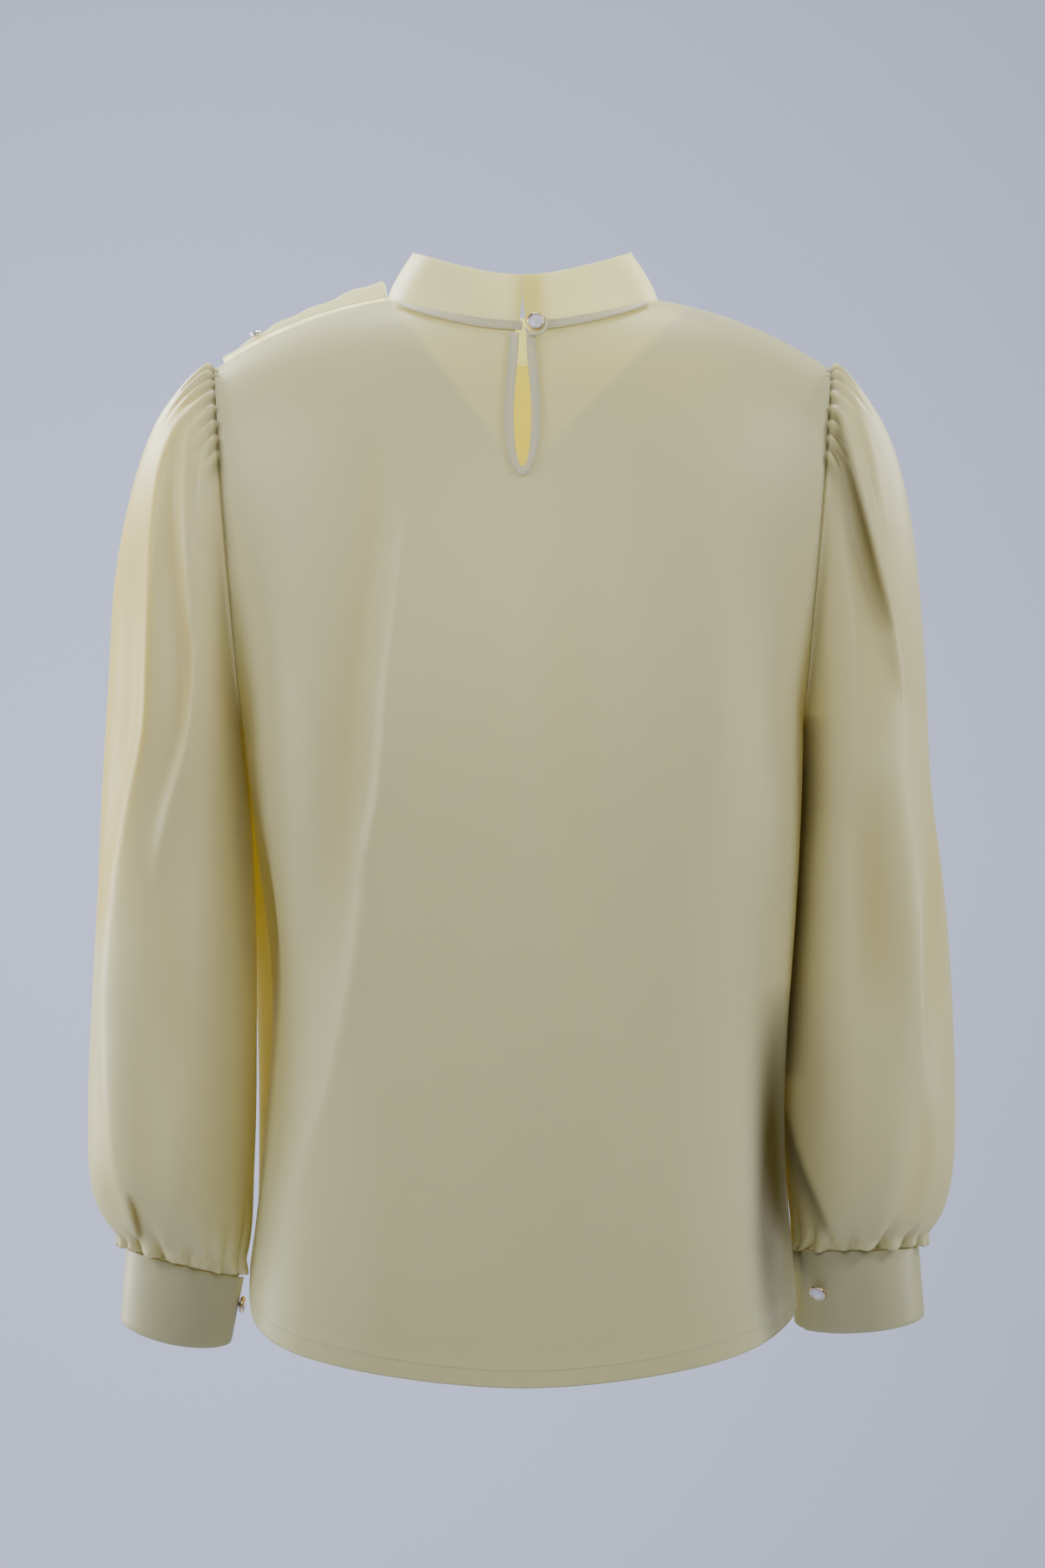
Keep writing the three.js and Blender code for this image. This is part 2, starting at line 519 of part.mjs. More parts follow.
function sleeveRing(sleeve, index, angles) {
  const ring = sleeve.rings[index];
  const centre = new THREE.Vector3((ring.outX + ring.inX) / 2, ring.mid, (ring.outZ + ring.inZ) / 2);
  const toOuter = new THREE.Vector3((ring.outX - ring.inX) / 2, 0, (ring.outZ - ring.inZ) / 2);
  const tall = toOuter.length();
  return angles.map((degrees) => {
    const angle = THREE.MathUtils.degToRad(degrees);
    const signed = degrees > 180 ? degrees - 360 : degrees;
    const crest = Math.round((degrees + HEAD_GATHERS.spread) * HEAD_GATHERS.count / HEAD_GATHERS.spread) % 2;
    const inHead = Math.abs(signed) < HEAD_GATHERS.spread + 1;
    const gather = inHead ? (crest ? 1 : -1) * HEAD_GATHERS.deep * ring.head : 0;
    const puff = ring.cuff * CUFF_GATHERS.deep * Math.cos(CUFF_GATHERS.count * angle + Math.sin(3 * angle));
    const rise = gather + puff + foldRise(sleeve.folds, index, signed);
    const p = centre.clone().addScaledVector(toOuter, Math.cos(angle) * (1 + rise / tall));
    p.y += ring.deep * Math.sin(angle) * (1 + rise / ring.deep);
    if (index === 0) p.x += SEAM_GAP + 0.25;
    p.x *= sleeve.side;
    return p;
  });
}

function sleeve(spec) {
  const angles = sleeveAngles();
  const grid = spec.rings.map((_, k) => sleeveRing(spec, k, angles));
  return clothWall(grid, { side: -spec.side, ring: true });
}
addMesh('sleeve_left', sleeve(LEFT_SLEEVE), cloth(cream.sleeve));
addMesh('sleeve_right', sleeve(RIGHT_SLEEVE), cloth(cream.sleeve));

// A cuff is a doubled band whose outer end laps over its inner one, where its button sits.
const CUFFS = {
  left: { side: -1, lapAt: -168, button: { angle: -174, down: 0.42 },
    top: { outX: 251, outZ: -598.5, inX: 179, inZ: -617, deep: 35, mid: 12 },
    bottom: { outX: 254.5, outZ: -643, inX: 187, inZ: -657, deep: 33, mid: 12 } },
  right: { side: 1, lapAt: -134, button: { angle: -125, down: 0.48 },
    top: { outX: 251, outZ: -597.5, inX: 170, inZ: -599.5, deep: 36, mid: 12 },
    bottom: { outX: 254.5, outZ: -640, inX: 172, inZ: -645, deep: 34, mid: 12 } },
};
const CUFF_LAP = 20;
const CUFF_BACK_DROP = 7.5;
function cuffPoint(cuff, down, degrees, off) {
  const part = (key) => THREE.MathUtils.lerp(cuff.top[key], cuff.bottom[key], down);
  const angle = THREE.MathUtils.degToRad(degrees);
  const [wide, deep] = [(part('outX') - part('inX')) / 2 + off, part('deep') + off];
  return new THREE.Vector3(
    cuff.side * ((part('outX') + part('inX')) / 2 + wide * Math.cos(angle)),
    part('mid') + deep * Math.sin(angle),
    (part('outZ') + part('inZ')) / 2 + (part('outZ') - part('inZ')) / 2 * Math.cos(angle)
      + CUFF_BACK_DROP * down * Math.sin(angle),
  );
}

function cuffBand(cuff) {
  const steps = 36;
  const lap = CUFF_THICK + SEAM_GAP + 0.3;
  const grid = [0, 0.5, 1].map((down) => {
    const row = [];
    for (let i = 0; i <= steps; i += 1) {
      const turned = (360 + CUFF_LAP) * i / steps;
      const raised = lap * (1 - smooth(turned, CUFF_LAP * 0.9, CUFF_LAP * 3));
      row.push(cuffPoint(cuff, down, cuff.lapAt + CUFF_LAP / 2 - CUFF_LAP + turned, raised));
    }
    return row;
  });
  return clothWall(grid, { thick: CUFF_THICK, side: -cuff.side });
}
addMesh('cuff_left', cuffBand(CUFFS.left), cloth(cream.bind));
addMesh('cuff_right', cuffBand(CUFFS.right), cloth(cream.bind));

// Buttons: a turned metal rim with a pearl face set in it, standing on the cloth on its shank.
const BUTTON_SIDES = 12;
const SHANK = 0.22;
function turned(profile) {
  const geometry = new THREE.LatheGeometry(profile.map(([r, h]) => new THREE.Vector2(r, h)), BUTTON_SIDES);
  geometry.rotateX(Math.PI / 2);
  return geometry;
}
function rimGeometry(radius, thick) {
  const shank = radius * 0.3;
  return turned([
    [0, -thick * SHANK], [shank, -thick * SHANK], [shank, 0], [radius * 0.8, thick * 0.1], [radius, thick * 0.4],
    [radius * 0.98, thick * 0.8], [radius * 0.84, thick], [radius * 0.8, thick * 0.62], [0, thick * 0.62],
  ]);
}
function faceGeometry(radius, thick) {
  const low = thick * 0.62 + 0.3;
  return turned([[0, low], [radius, low], [radius, low + 0.5], [radius * 0.6, low + 1.1], [0, low + 1.3]]);
}
function addButton(name, place, facing, { radius, thick }, faceMaterial = pearl()) {
  const turn = new THREE.Quaternion().setFromUnitVectors(new THREE.Vector3(0, 0, 1), facing.clone().normalize());
  const parts = { rim: rimGeometry(radius, thick), face: faceGeometry(radius * 0.76, thick) };
  for (const [part, geometry] of Object.entries(parts)) {
    const mesh = addMesh(`${name}_${part}`, geometry, part === 'rim' ? metal() : faceMaterial);
    mesh.position.copy(place);
    mesh.quaternion.copy(turn);
  }
}

const NECK_BUTTON = { x: 7.8, z: -20, off: 3.9, tilt: [0.2, -1, 0.12] };
const neckButtonPlace = onBack(NECK_BUTTON.x, NECK_BUTTON.z, NECK_BUTTON.off);
addButton('neck_button', neckButtonPlace, new THREE.Vector3(...NECK_BUTTON.tilt), BUTTON);

for (const [name, cuff] of Object.entries(CUFFS)) {
  const { angle, down } = cuff.button;
  const on = (off) => cuffPoint(cuff, down, angle, off);
  const lapThick = CUFF_THICK + SEAM_GAP + 0.3;
  const facing = on(10).sub(on(0)).normalize();
  addButton(`cuff_button_${name}`, on(lapThick + SEAM_GAP + BUTTON.thick * SHANK), facing, BUTTON);
}

// The neck loop: a thin cord of cloth from the right end of the neck binding, round under the button.
const LOOP_RADIUS = 1;
const LOOP = [
  { x: 12.6, z: -15.5, off: 2.4 }, { x: 14.6, z: -19, off: 2.9 }, { x: 14.2, z: -24, off: 2.9 },
  { x: 9.8, z: -27.6, off: 2.9 }, { x: 4.4, z: -27.4, off: 2.9 }, { x: 1.6, z: -24.2, off: 2.9 },
];
function loopCord() {
  const path = new THREE.CatmullRomCurve3(LOOP.map((p) => onBack(p.x, p.z, p.off + LOOP_RADIUS)));
  const round = new THREE.Shape();
  round.absarc(0, 0, LOOP_RADIUS, 0, 2 * Math.PI);
  const options = { steps: 16, curveSegments: 3, bevelEnabled: false, extrudePath: path };
  return new THREE.ExtrudeGeometry(round, options);
}
addMesh('button_loop', loopCord(), cloth(cream.bind));

// The drape: a pleated cloth over the front of the left shoulder, standing above the shoulder line at the neck
// and held down at the armhole end by a small stone button.
const DRAPE = {
  neckU: -NECK_U * 0.995, tipU: -0.93, rearV: 0.012, lowV: 0.62, tipLowV: 0.4, off: 3.8, pleats: 5, pleatRise: 1.8,
  crest: [{ p: 0, rise: 15.5 }, { p: 0.12, rise: 13 }, { p: 0.3, rise: 8.5 }, { p: 0.5, rise: 6.5 }, { p: 0.7, rise: 3.5 }, { p: 1, rise: 0.5 }],
};
function drapePoint(p, q) {
  const u = THREE.MathUtils.lerp(DRAPE.neckU, DRAPE.tipU, p);
  const neck = neckEdgeV(FRONT, u);
  const low = THREE.MathUtils.lerp(DRAPE.lowV, DRAPE.tipLowV, p);
  const v = neck + DRAPE.rearV + (low - neck - DRAPE.rearV) * q ** 1.3;
  const stand = smooth(q, 0, 0.12) * (1 - smooth(q, 0.18, 0.8));
  const pleat = DRAPE.pleatRise * smooth(q, 0, 0.3) * Math.cos(2 * Math.PI * DRAPE.pleats * (p + 0.35 * q));
  return onPanel(FRONT, u, v, DRAPE.off + fromTable(DRAPE.crest, 'p', p, 'rise') * stand + pleat);
}
function drape() {
  const [down, across] = [9, 16];
  const grid = [];
  for (let j = 0; j <= down; j += 1) {
    grid.push(Array.from({ length: across + 1 }, (_, i) => drapePoint(i / across, j / down)));
  }
  return clothWall(grid, { side: -1 });
}
addMesh('shoulder_drape', drape(), cloth(cream.collar));

const STONE = { radius: 3.4, thick: 2.6, p: 0.7, q: 0.07 };
const stoneFacing = new THREE.Vector3(-0.35, -0.45, 0.82);
const stonePlace = drapePoint(STONE.p, STONE.q).addScaledVector(stoneFacing, SEAM_GAP + SHANK * STONE.thick);
addButton('shoulder_stone', stonePlace, stoneFacing, STONE);

export default blouse;
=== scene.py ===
import math

import bpy
import numpy as np
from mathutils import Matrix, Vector


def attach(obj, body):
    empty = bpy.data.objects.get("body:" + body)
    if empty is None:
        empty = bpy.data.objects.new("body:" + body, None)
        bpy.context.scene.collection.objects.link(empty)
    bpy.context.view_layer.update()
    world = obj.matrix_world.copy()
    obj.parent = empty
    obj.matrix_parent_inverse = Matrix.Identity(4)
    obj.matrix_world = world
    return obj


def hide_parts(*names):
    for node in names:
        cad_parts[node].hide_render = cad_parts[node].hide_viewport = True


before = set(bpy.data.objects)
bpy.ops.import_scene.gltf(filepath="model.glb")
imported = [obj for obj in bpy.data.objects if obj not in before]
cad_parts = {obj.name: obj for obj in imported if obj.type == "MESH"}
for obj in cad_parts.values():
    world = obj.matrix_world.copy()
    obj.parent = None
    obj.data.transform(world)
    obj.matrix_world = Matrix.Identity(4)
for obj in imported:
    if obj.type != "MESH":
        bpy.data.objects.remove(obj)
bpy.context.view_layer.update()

# The back: one cut of satin chiffon from the shoulder line to the curved hem, hanging from the shoulders.
# It is sewn to the front at the shoulders and sides and to the sleeves round the armholes.
# Tables and sizes are in millimetres, and every mesh is turned to metres as it is made.
MM = 0.001
FINE_CLOTH = 0.7
SHOULDER_TIP = {"x": 194.0, "z": -43.0}
RIDGE_Y = 2.0
NECK_X = 86.0
UNDERARM = {"x": 176.0, "z": -272.0}
ARMHOLE_DEPTH = 58.0
HEM_SIDE_Z = -608.0
SIDE_SEAM = {
    "z": [-272, -340, -393, -430, -484, -530, -573, -608],
    "left": [176, 168.5, 161.5, 157.5, 159, 163, 167.5, 172],
    "right": [176, 170.5, 165.5, 161.5, 157.5, 158, 163, 166.5],
}
SECTION = {
    "v": [0, 0.5, 0.8, 1, 1.5, 2],
    "turn": [0.8, 0.72, 0.88, 1, 1, 1],
    "square": [2, 2, 2.4, 2.7, 2.8, 3.3],
}
SHOULDER_SLOPE_SHAPE = 2.7
SWELL_HELD_NEAR_SEAM = 0.08
HEM_SHAPE = 1.85
NECK_SHAPE = 0.6
BACK = {
    "front": -1,
    "neck_v": 0.22,
    "v": [0, 0.1, 0.22, 0.35, 0.5, 0.7, 1, 1.35, 1.7, 2],
    "z": [6, -1, -17, -48, -102, -180, -268, -385, -540, -677],
    "y": [2, -30, -56, -81, -101, -112, -113, -108, -109, -113],
}
# Each fold follows a path of (x, z) on the panel. rise is how far it stands out (or in, below zero),
# steep names the side, -1 or 1 along x, on which it falls away sharply, yellow is how much painted light,
# yellow as light come through the cloth, is mixed into its colour, dark how much painted shade, and ends
# the power by which its ends fade. A fold that runs_off doesn't fade at its low end.
BACK_FOLDS = [
    dict(name="long left crest", width=15, rise=5.2, steep=-1,
         path=[(-72, -130), (-75, -171), (-83, -241), (-88, -305), (-96, -348), (-102, -402), (-113, -455),
               (-126, -509), (-150, -565)]),
    dict(name="trough beside the long crest", width=15, rise=-5, yellow=0.22,
         path=[(-84, -60), (-92, -130), (-100, -200), (-106, -260), (-110, -320), (-114, -370),
               (-124, -430)]),
    dict(name="left side band", width=15, rise=3.2,
         path=[(-142, -140), (-138, -220), (-136, -290), (-138, -350), (-143, -420)]),
    dict(name="low left trough", width=13, rise=-3.4,
         path=[(-134, -330), (-132, -400), (-135, -450), (-142, -510), (-152, -560)]),
    dict(name="left edge pinch", width=11, rise=-5.0, yellow=0.3,
         path=[(-164, -330), (-158, -380), (-155, -430), (-154, -480), (-156, -560)]),
    dict(name="centre ridge", width=22, rise=3.4,
         path=[(-2, -120), (0, -220), (6, -330), (11, -430), (14, -540), (10, -620)]),
    dict(name="trough right of the centre", width=26, rise=-3.4,
         path=[(46, -60), (44, -150), (50, -260), (56, -360), (62, -460), (66, -560)]),
    dict(name="right blade ridge", width=17, rise=1.7,
         path=[(112, -90), (119, -160), (124, -215), (126, -270), (122, -360)]),
    dict(name="thin right crest", width=6, rise=0.5, path=[(118, -190), (122, -250), (126, -310)]),
    dict(name="right edge ridge", width=11, rise=3.0,
         path=[(176, -180), (170, -260), (163, -330), (158, -420), (152, -520), (150, -600)]),
    dict(name="right trough", width=18, rise=-1.2,
         path=[(150, -130), (146, -230), (140, -330), (132, -430), (126, -520)]),
    dict(name="low left of centre trough", width=20, rise=-2.4,
         path=[(-62, -330), (-58, -430), (-54, -520), (-60, -610)]),
    dict(name="right side turned away", width=38, rise=-2.5, dark=1.1, steep=-1, ends=0.7,
         path=[(161, -430), (157, -480), (154, -540), (153, -590), (157, -640), (166, -680)]),
    dict(name="hem flute left", width=14, rise=2.4, path=[(-92, -520), (-90, -600), (-96, -680)]),
    dict(name="hem flute right", width=15, rise=2.4, path=[(96, -500), (100, -590), (104, -680)]),
    dict(name="hem diagonal", width=9, rise=-1.2, path=[(46, -520), (34, -590), (26, -640)]),
]
# The broad swells and pinches, by u across the panel and v down it.
BACK_SWELLS = [
    dict(name="left blade", u=-0.42, drift=0.1, from_v=0.8, to_v=1.9, width=0.1, rise=3.5),
    dict(name="left side pinch", u=-0.84, drift=0, from_v=1.05, to_v=1.6, width=0.12, rise=-7),
    dict(name="right side swell", u=0.78, drift=0, from_v=1, to_v=2.6, width=0.13, rise=8),
    dict(name="right waist swell", u=0.8, drift=0, from_v=0.7, to_v=1.9, width=0.12, rise=5),
    dict(name="centre hang", u=0.1, drift=0.14, from_v=1, to_v=2.3, width=0.14, rise=2.5),
]
# The satin's own colour, that of light come through it, and the colours of the painted light and the painted
# shade mixed into its valleys.
BACK_COLOUR = (0.675, 0.677, 0.455, 1)
GLOW_COLOUR = (0.84, 0.76, 0.22, 1)
PAINTED_VALLEY_LIGHT_COLOUR = (0.58, 0.47, 0.07, 1)
SHADE_COLOUR = (0.12, 0.086, 0.012, 1)
# Light shines through the upper back in a soft V from the neck to the keyhole's foot. It is strongest above
# the share of its height called full_at. These sizes are in metres.
LIT_V_COLOUR = (0.90, 0.88, 0.49, 1)
LIT_V = {
    "foot_z": -0.116, "left_slope": 1.33, "right_slope": 1.05, "soft": 0.007,
    "at_foot": 0.25, "full_at": 0.35,
}
# The hem is turned up once and stitched, and its edge puckers, most of all where it curves up at the sides.
SIDE_LONG = 330.0
HEM_DEEP = 5.0
HEM_SHARE = HEM_DEEP / SIDE_LONG
HEM_ROWS = 8
HEM_THICK = 0.5
HEM_PUCKER = {"high": 0.45, "waves": 95, "more_waves": 61, "share_of_more": 0.6, "at_middle": 0.25}
SMOOTHING_PASSES = 40


def smooth_step(value, start, end):
    """Rises smoothly from 0 at start to 1 at end."""
    t = np.clip((value - start) / (end - start), 0, 1)
    return t * t * (3 - 2 * t)


def curve_through(keys, values, at):
    """A smooth curve through a table's points, read at each value of at."""
    keys, values = np.asarray(keys, float), np.asarray(values, float)
    if keys[0] > keys[-1]:
        keys, values = keys[::-1], values[::-1]
    slope = np.empty_like(values)
    slope[1:-1] = (values[2:] - values[:-2]) / (keys[2:] - keys[:-2])
    slope[0] = (values[1] - values[0]) / (keys[1] - keys[0])
    slope[-1] = (values[-1] - values[-2]) / (keys[-1] - keys[-2])
    at = np.clip(at, keys[0], keys[-1])
    k = np.clip(np.searchsorted(keys, at, side="right") - 1, 0, len(keys) - 2)
    step = keys[k + 1] - keys[k]
    t = (at - keys[k]) / step
    low = values[k] * (2 * t**3 - 3 * t**2 + 1) + slope[k] * step * (t**3 - 2 * t**2 + t)
    return low + values[k + 1] * (3 * t**2 - 2 * t**3) + slope[k + 1] * step * (t**3 - t**2)


def seam_point(u, v, front):
    """Where the armhole or side seam lies at v: x, y and z."""
    turn = np.pi * np.clip(v, 0, 1)
    half = (1 - np.cos(turn)) / 2
    x = SHOULDER_TIP["x"] + (UNDERARM["x"] - SHOULDER_TIP["x"]) * half
    y = RIDGE_Y + front * ARMHOLE_DEPTH * np.sin(turn)
    z = SHOULDER_TIP["z"] + (UNDERARM["z"] - SHOULDER_TIP["z"]) * half
    low_z = UNDERARM["z"] + (HEM_SIDE_Z - UNDERARM["z"]) * (v - 1)
    left = curve_through(SIDE_SEAM["z"], SIDE_SEAM["left"], low_z)
    right = curve_through(SIDE_SEAM["z"], SIDE_SEAM["right"], low_z)
    below = v > 1
    x = np.where(below, np.where(u < 0, left, right), x)
    return x, np.where(below, RIDGE_Y, y), np.where(below, low_z, z)


def section_at(u, v):
    """The shares of a panel's half-width and of its depth at u."""
    turn = curve_through(SECTION["v"], SECTION["turn"], v) * np.pi / 2
    square = curve_through(SECTION["v"], SECTION["square"], v)

    def reach(angle):
        return (np.abs(np.cos(angle)) ** square + np.abs(np.sin(angle)) ** square) ** (-1 / square)

    here, end = reach(u * turn), reach(turn)
    end_depth = np.cos(turn) * end
    out = np.sin(u * turn) * here / (np.sin(turn) * end)
    return out, (np.cos(u * turn) * here - end_depth) / (1 - end_depth)


def panel_point(panel, u, v):
    """Points of a body panel. v runs 0 at the shoulder line, 1 at the underarm and 2 at the hem."""
    u, v = np.broadcast_arrays(np.asarray(u, float), np.asarray(v, float))
    seam_x, seam_y, seam_z = seam_point(u, v, panel["front"])
    out, deep = section_at(u, v)
    middle_y = curve_through(panel["v"], panel["y"], v)
    middle_z = curve_through(panel["v"], panel["z"], v)
    slope_share = 1 - np.abs(out) ** SHOULDER_SLOPE_SHAPE
    hem_share = 1 - np.abs(u) ** HEM_SHAPE
    share = slope_share + (hem_share - slope_share) * smooth_step(v, 0.8, 1.2)
    return np.stack(
        [seam_x * out, seam_y + (middle_y - seam_y) * deep, seam_z + (middle_z - seam_z) * share], axis=-1
    )


def faces_of(rows, columns, ring=False):
    """The quads of a grid of rows by columns, closed round if it is a ring."""
    j, i = np.meshgrid(np.arange(rows - 1), np.arange(columns if ring else columns - 1), indexing="ij")
    here, below = j * columns, (j + 1) * columns
    side = (i + 1) % columns
    return np.stack([here + i, here + side, below + side, below + i], -1).reshape(-1, 4)


def mesh_of(name, points, quads, uv=None):
    """A smooth mesh from points in millimetres, with its own UV map in metres of cloth."""
    mesh = bpy.data.meshes.new(name)
    mesh.from_pydata((np.asarray(points).reshape(-1, 3) * MM).tolist(), [], quads.tolist())
    if uv is not None:
        flat = np.asarray(uv).reshape(-1, 2)[quads.reshape(-1)] * MM
        mesh.uv_layers.new(name="cloth").data.foreach_set("uv", flat.astype(np.float32).reshape(-1))
    mesh.polygons.foreach_set("use_smooth", [True] * len(mesh.polygons))
    made = bpy.data.objects.new(name, mesh)
    bpy.context.collection.objects.link(made)
    return made


def face_towards(obj, point):
    """Turns every face so that the first layer looks away from the point, in metres."""
    mesh = obj.data
    away = sum((p.center - Vector(point)).dot(p.normal) * p.area for p in mesh.polygons)
    if away < 0:
        mesh.flip_normals()


def apply_modifiers(obj):
    """Leaves the object with the mesh that its modifiers make, and none of them."""
    made = bpy.data.meshes.new_from_object(obj.evaluated_get(bpy.context.evaluated_depsgraph_get()))
    old, name = obj.data, obj.data.name
    obj.modifiers.clear()
    obj.data = made
    bpy.data.meshes.remove(old)
    made.name = name


def thicken(obj, thick):
    """Gives the cloth its thickness inwards from its outer face."""
    wall = obj.modifiers.new("cloth thickness", "SOLIDIFY")
    wall.thickness = thick * MM
    wall.offset = -1.0
    wall.use_even_offset = False
    apply_modifiers(obj)


def relaxed(grid, times, ring=False):
    """The grid with its inner points eased towards their neighbours, its first and last rows kept."""
    grid = grid.copy()
    for _ in range(times):
        mean = grid.copy()
        mean[1:-1] = (grid[:-2] + grid[2:]) / 2
        if ring:
            grid[1:-1] = 0.5 * grid[1:-1] + 0.5 * mean[1:-1]
        else:
            grid[1:-1, 1:-1] = 0.5 * grid[1:-1, 1:-1] + 0.5 * mean[1:-1, 1:-1]
    return grid


# How the folds are shaped, in shares of their width: how fast the steep side falls and the other eases off,
# and how round the crest is between them. The ends of every fold fade by FOLD_ENDS unless it says another.
STEEP_SIDE = 3.6
EASY_SIDE = 1.5
CREST_ROUND = 0.1
FOLD_ENDS = 0.9


def fold_depth(x, z, folds, amount="rise"):
    """How far the folds stand out at each x and z, or how much of another amount of theirs is there."""
    depth = np.zeros_like(x)
    for fold in folds:
        if not fold.get(amount):
            continue
        path_x, path_z = zip(*fold["path"])
        top, low = max(path_z), min(path_z)
        along = np.clip((top - z) / (top - low), 0, 1)
        ends = np.sin(np.pi * along) ** fold.get("ends", FOLD_ENDS)
        if fold.get("runs_off"):
            ends = np.sin(np.pi / 2 * along) ** FOLD_ENDS
        from_path = (x - curve_through(path_z, path_x, z)) / fold["width"]
        steep = fold.get("steep", 0)
        shape = np.exp(-(from_path**2))
        if steep:
            falling = np.exp(-((from_path * STEEP_SIDE) ** 2))
            past_crest = np.maximum(np.hypot(from_path, CREST_ROUND) - CREST_ROUND, 0)
            easing = np.exp(-past_crest * EASY_SIDE)
            shape = np.where(from_path * steep > 0, falling, easing)
        depth += fold[amount] * ends * shape
    return depth


def paint_valley_light_and_shade(obj, yellow, dark=None):
    """Keeps on the cloth how much painted yellow light and how much painted shade go into its colour at each
    point.
    """
    for name, amount in (("valley", yellow), ("shade", dark)):
        if amount is not None:
            kept = obj.data.attributes.new(name, "FLOAT", "POINT")
            kept.data.foreach_set("value", np.clip(amount, 0, 1).astype(np.float32).reshape(-1))


THREAD_STRETCH = 0.12
SLUBS_PER_METRE = (60, 700, 1)


def wire(tree, node, inputs):
    """Joins each of a node's inputs to a socket, or sets it to a value."""
    for key, value in inputs.items():
        if isinstance(value, bpy.types.NodeSocket):
            tree.links.new(value, node.inputs[key])
        else:
            node.inputs[key].default_value = value
    return node


def new_node(tree, kind, inputs, **settings):
    """A new node with its settings and its inputs."""
    node = tree.nodes.new(kind)
    for name, value in settings.items():
        setattr(node, name, value)
    return wire(tree, node, inputs)


def noise(tree, place, scale, detail):
    """A soft unevenness, as a number at each place."""
    inputs = {"Vector": place, "Scale": scale, "Detail": detail}
    return new_node(tree, "ShaderNodeTexNoise", inputs).outputs["Fac"]


def mixed(tree, share, first, second):
    """The first colour with a share of the second in it."""
    inputs = {"Factor": share, "A": first, "B": second}
    return new_node(tree, "ShaderNodeMix", inputs, data_type="RGBA").outputs["Result"]


def finish(name, values):
    """A new material with those values on the sockets of its shader."""
    material = bpy.data.materials.new(name)
    material.use_nodes = True
    wire(material.node_tree, material.node_tree.nodes["Principled BSDF"], values)
    return material


def weave_group():
    """The weave and the soft unevenness of the satin, as a shader group with named inputs."""
    group = bpy.data.node_groups.new("Satin weave", "ShaderNodeTree")
    for name, kind, value in (
        ("Colour", "NodeSocketColor", (0.6, 0.6, 0.5, 1)),
        ("Lighter Colour", "NodeSocketColor", (0.7, 0.7, 0.6, 1)),
        ("Threads per Metre", "NodeSocketFloat", 1800.0),
        ("Weave Depth", "NodeSocketFloat", 0.3),
        ("Slub Depth", "NodeSocketFloat", 0.1),
    ):
        socket = group.interface.new_socket(name, in_out="INPUT", socket_type=kind)
        socket.default_value = value
    group.interface.new_socket("Colour", in_out="OUTPUT", socket_type="NodeSocketColor")
    group.interface.new_socket("Normal", in_out="OUTPUT", socket_type="NodeSocketVector")
    given = group.nodes.new("NodeGroupInput").outputs
    place = new_node(group, "ShaderNodeUVMap", {}, uv_map="cloth").outputs["UV"]
    threads = []
    for way in ((THREAD_STRETCH, 1, 1), (1, THREAD_STRETCH, 1)):
        drawn = new_node(group, "ShaderNodeVectorMath", {0: place, 1: way}, operation="MULTIPLY")
        threads.append(noise(group, drawn.outputs["Vector"], given["Threads per Metre"], 1.0))
    weave = new_node(group, "ShaderNodeMath", dict(enumerate(threads)), operation="ADD").outputs[0]
    drawn = new_node(group, "ShaderNodeMapping", {"Vector": place, "Scale": SLUBS_PER_METRE})
    slub = noise(group, drawn.outputs["Vector"], 1.0, 3.0)
    bumps = {"Strength": given["Weave Depth"], "Distance": 0.0002, "Height": weave}
    normal = new_node(group, "ShaderNodeBump", bumps).outputs["Normal"]
    bumps = {"Strength": given["Slub Depth"], "Distance": 0.0003, "Height": slub, "Normal": normal}
    normal = new_node(group, "ShaderNodeBump", bumps).outputs["Normal"]
    where = group.nodes.new("ShaderNodeTexCoord").outputs["Object"]
    colour = mixed(group, noise(group, where, 7.0, 2.0), given["Colour"], given["Lighter Colour"])
    new_node(group, "NodeGroupOutput", {"Colour": colour, "Normal": normal})
    return group


SATIN_WEAVE = weave_group()
SATIN_FACE = {"Specular IOR Level": 0.5, "Sheen Roughness": 0.35, "Sheen Tint": (1.0, 0.97, 0.85, 1)}


def satin(name, colour, glow=GLOW_COLOUR, see_through=0.4, roughness=0.42, sheen=0.25, tint=None,
          painted_valley_light=PAINTED_VALLEY_LIGHT_COLOUR):
    """A satin chiffon: a lustrous face over cloth that lets light through. tint adds a zone of painted light,
    and the cloth's valley and shade marks mix painted light and painted shade into its colour.
    """
    material = finish(name, SATIN_FACE | {"Roughness": roughness, "Sheen Weight": sheen})
    tree = material.node_tree
    lighter = tuple(min(1.0, c * 1.06) for c in colour[:3]) + (1,)
    colours = {"Colour": colour, "Lighter Colour": lighter}
    weave = new_node(tree, "ShaderNodeGroup", colours, node_tree=SATIN_WEAVE).outputs
    shown = tint(tree, weave["Colour"]) if tint else weave["Colour"]
    # Painted light and painted shade are mixed into the colour, and the painted shade into the light come
    # through.
    valley = new_node(tree, "ShaderNodeAttribute", {}, attribute_name="valley").outputs["Fac"]
    shade = new_node(tree, "ShaderNodeAttribute", {}, attribute_name="shade").outputs["Fac"]
    shown = mixed(tree, shade, mixed(tree, valley, shown, painted_valley_light), SHADE_COLOUR)
    face = tree.nodes["Principled BSDF"]
    wire(tree, face, {"Base Color": shown, "Normal": weave["Normal"]})
    light = mixed(tree, shade, glow, SHADE_COLOUR)
    through = new_node(tree, "ShaderNodeBsdfTranslucent", {"Color": light}).outputs["BSDF"]
    both = new_node(tree, "ShaderNodeMixShader", {"Fac": see_through, 1: face.outputs["BSDF"], 2: through})
    wire(tree, tree.nodes["Material Output"], {"Surface": both.outputs["Shader"]})
    return material


SHOULDER_TURN = SECTION["turn"][0] * math.pi / 2
NECK_U = math.asin(NECK_X / SHOULDER_TIP["x"] * math.sin(SHOULDER_TURN)) / SHOULDER_TURN


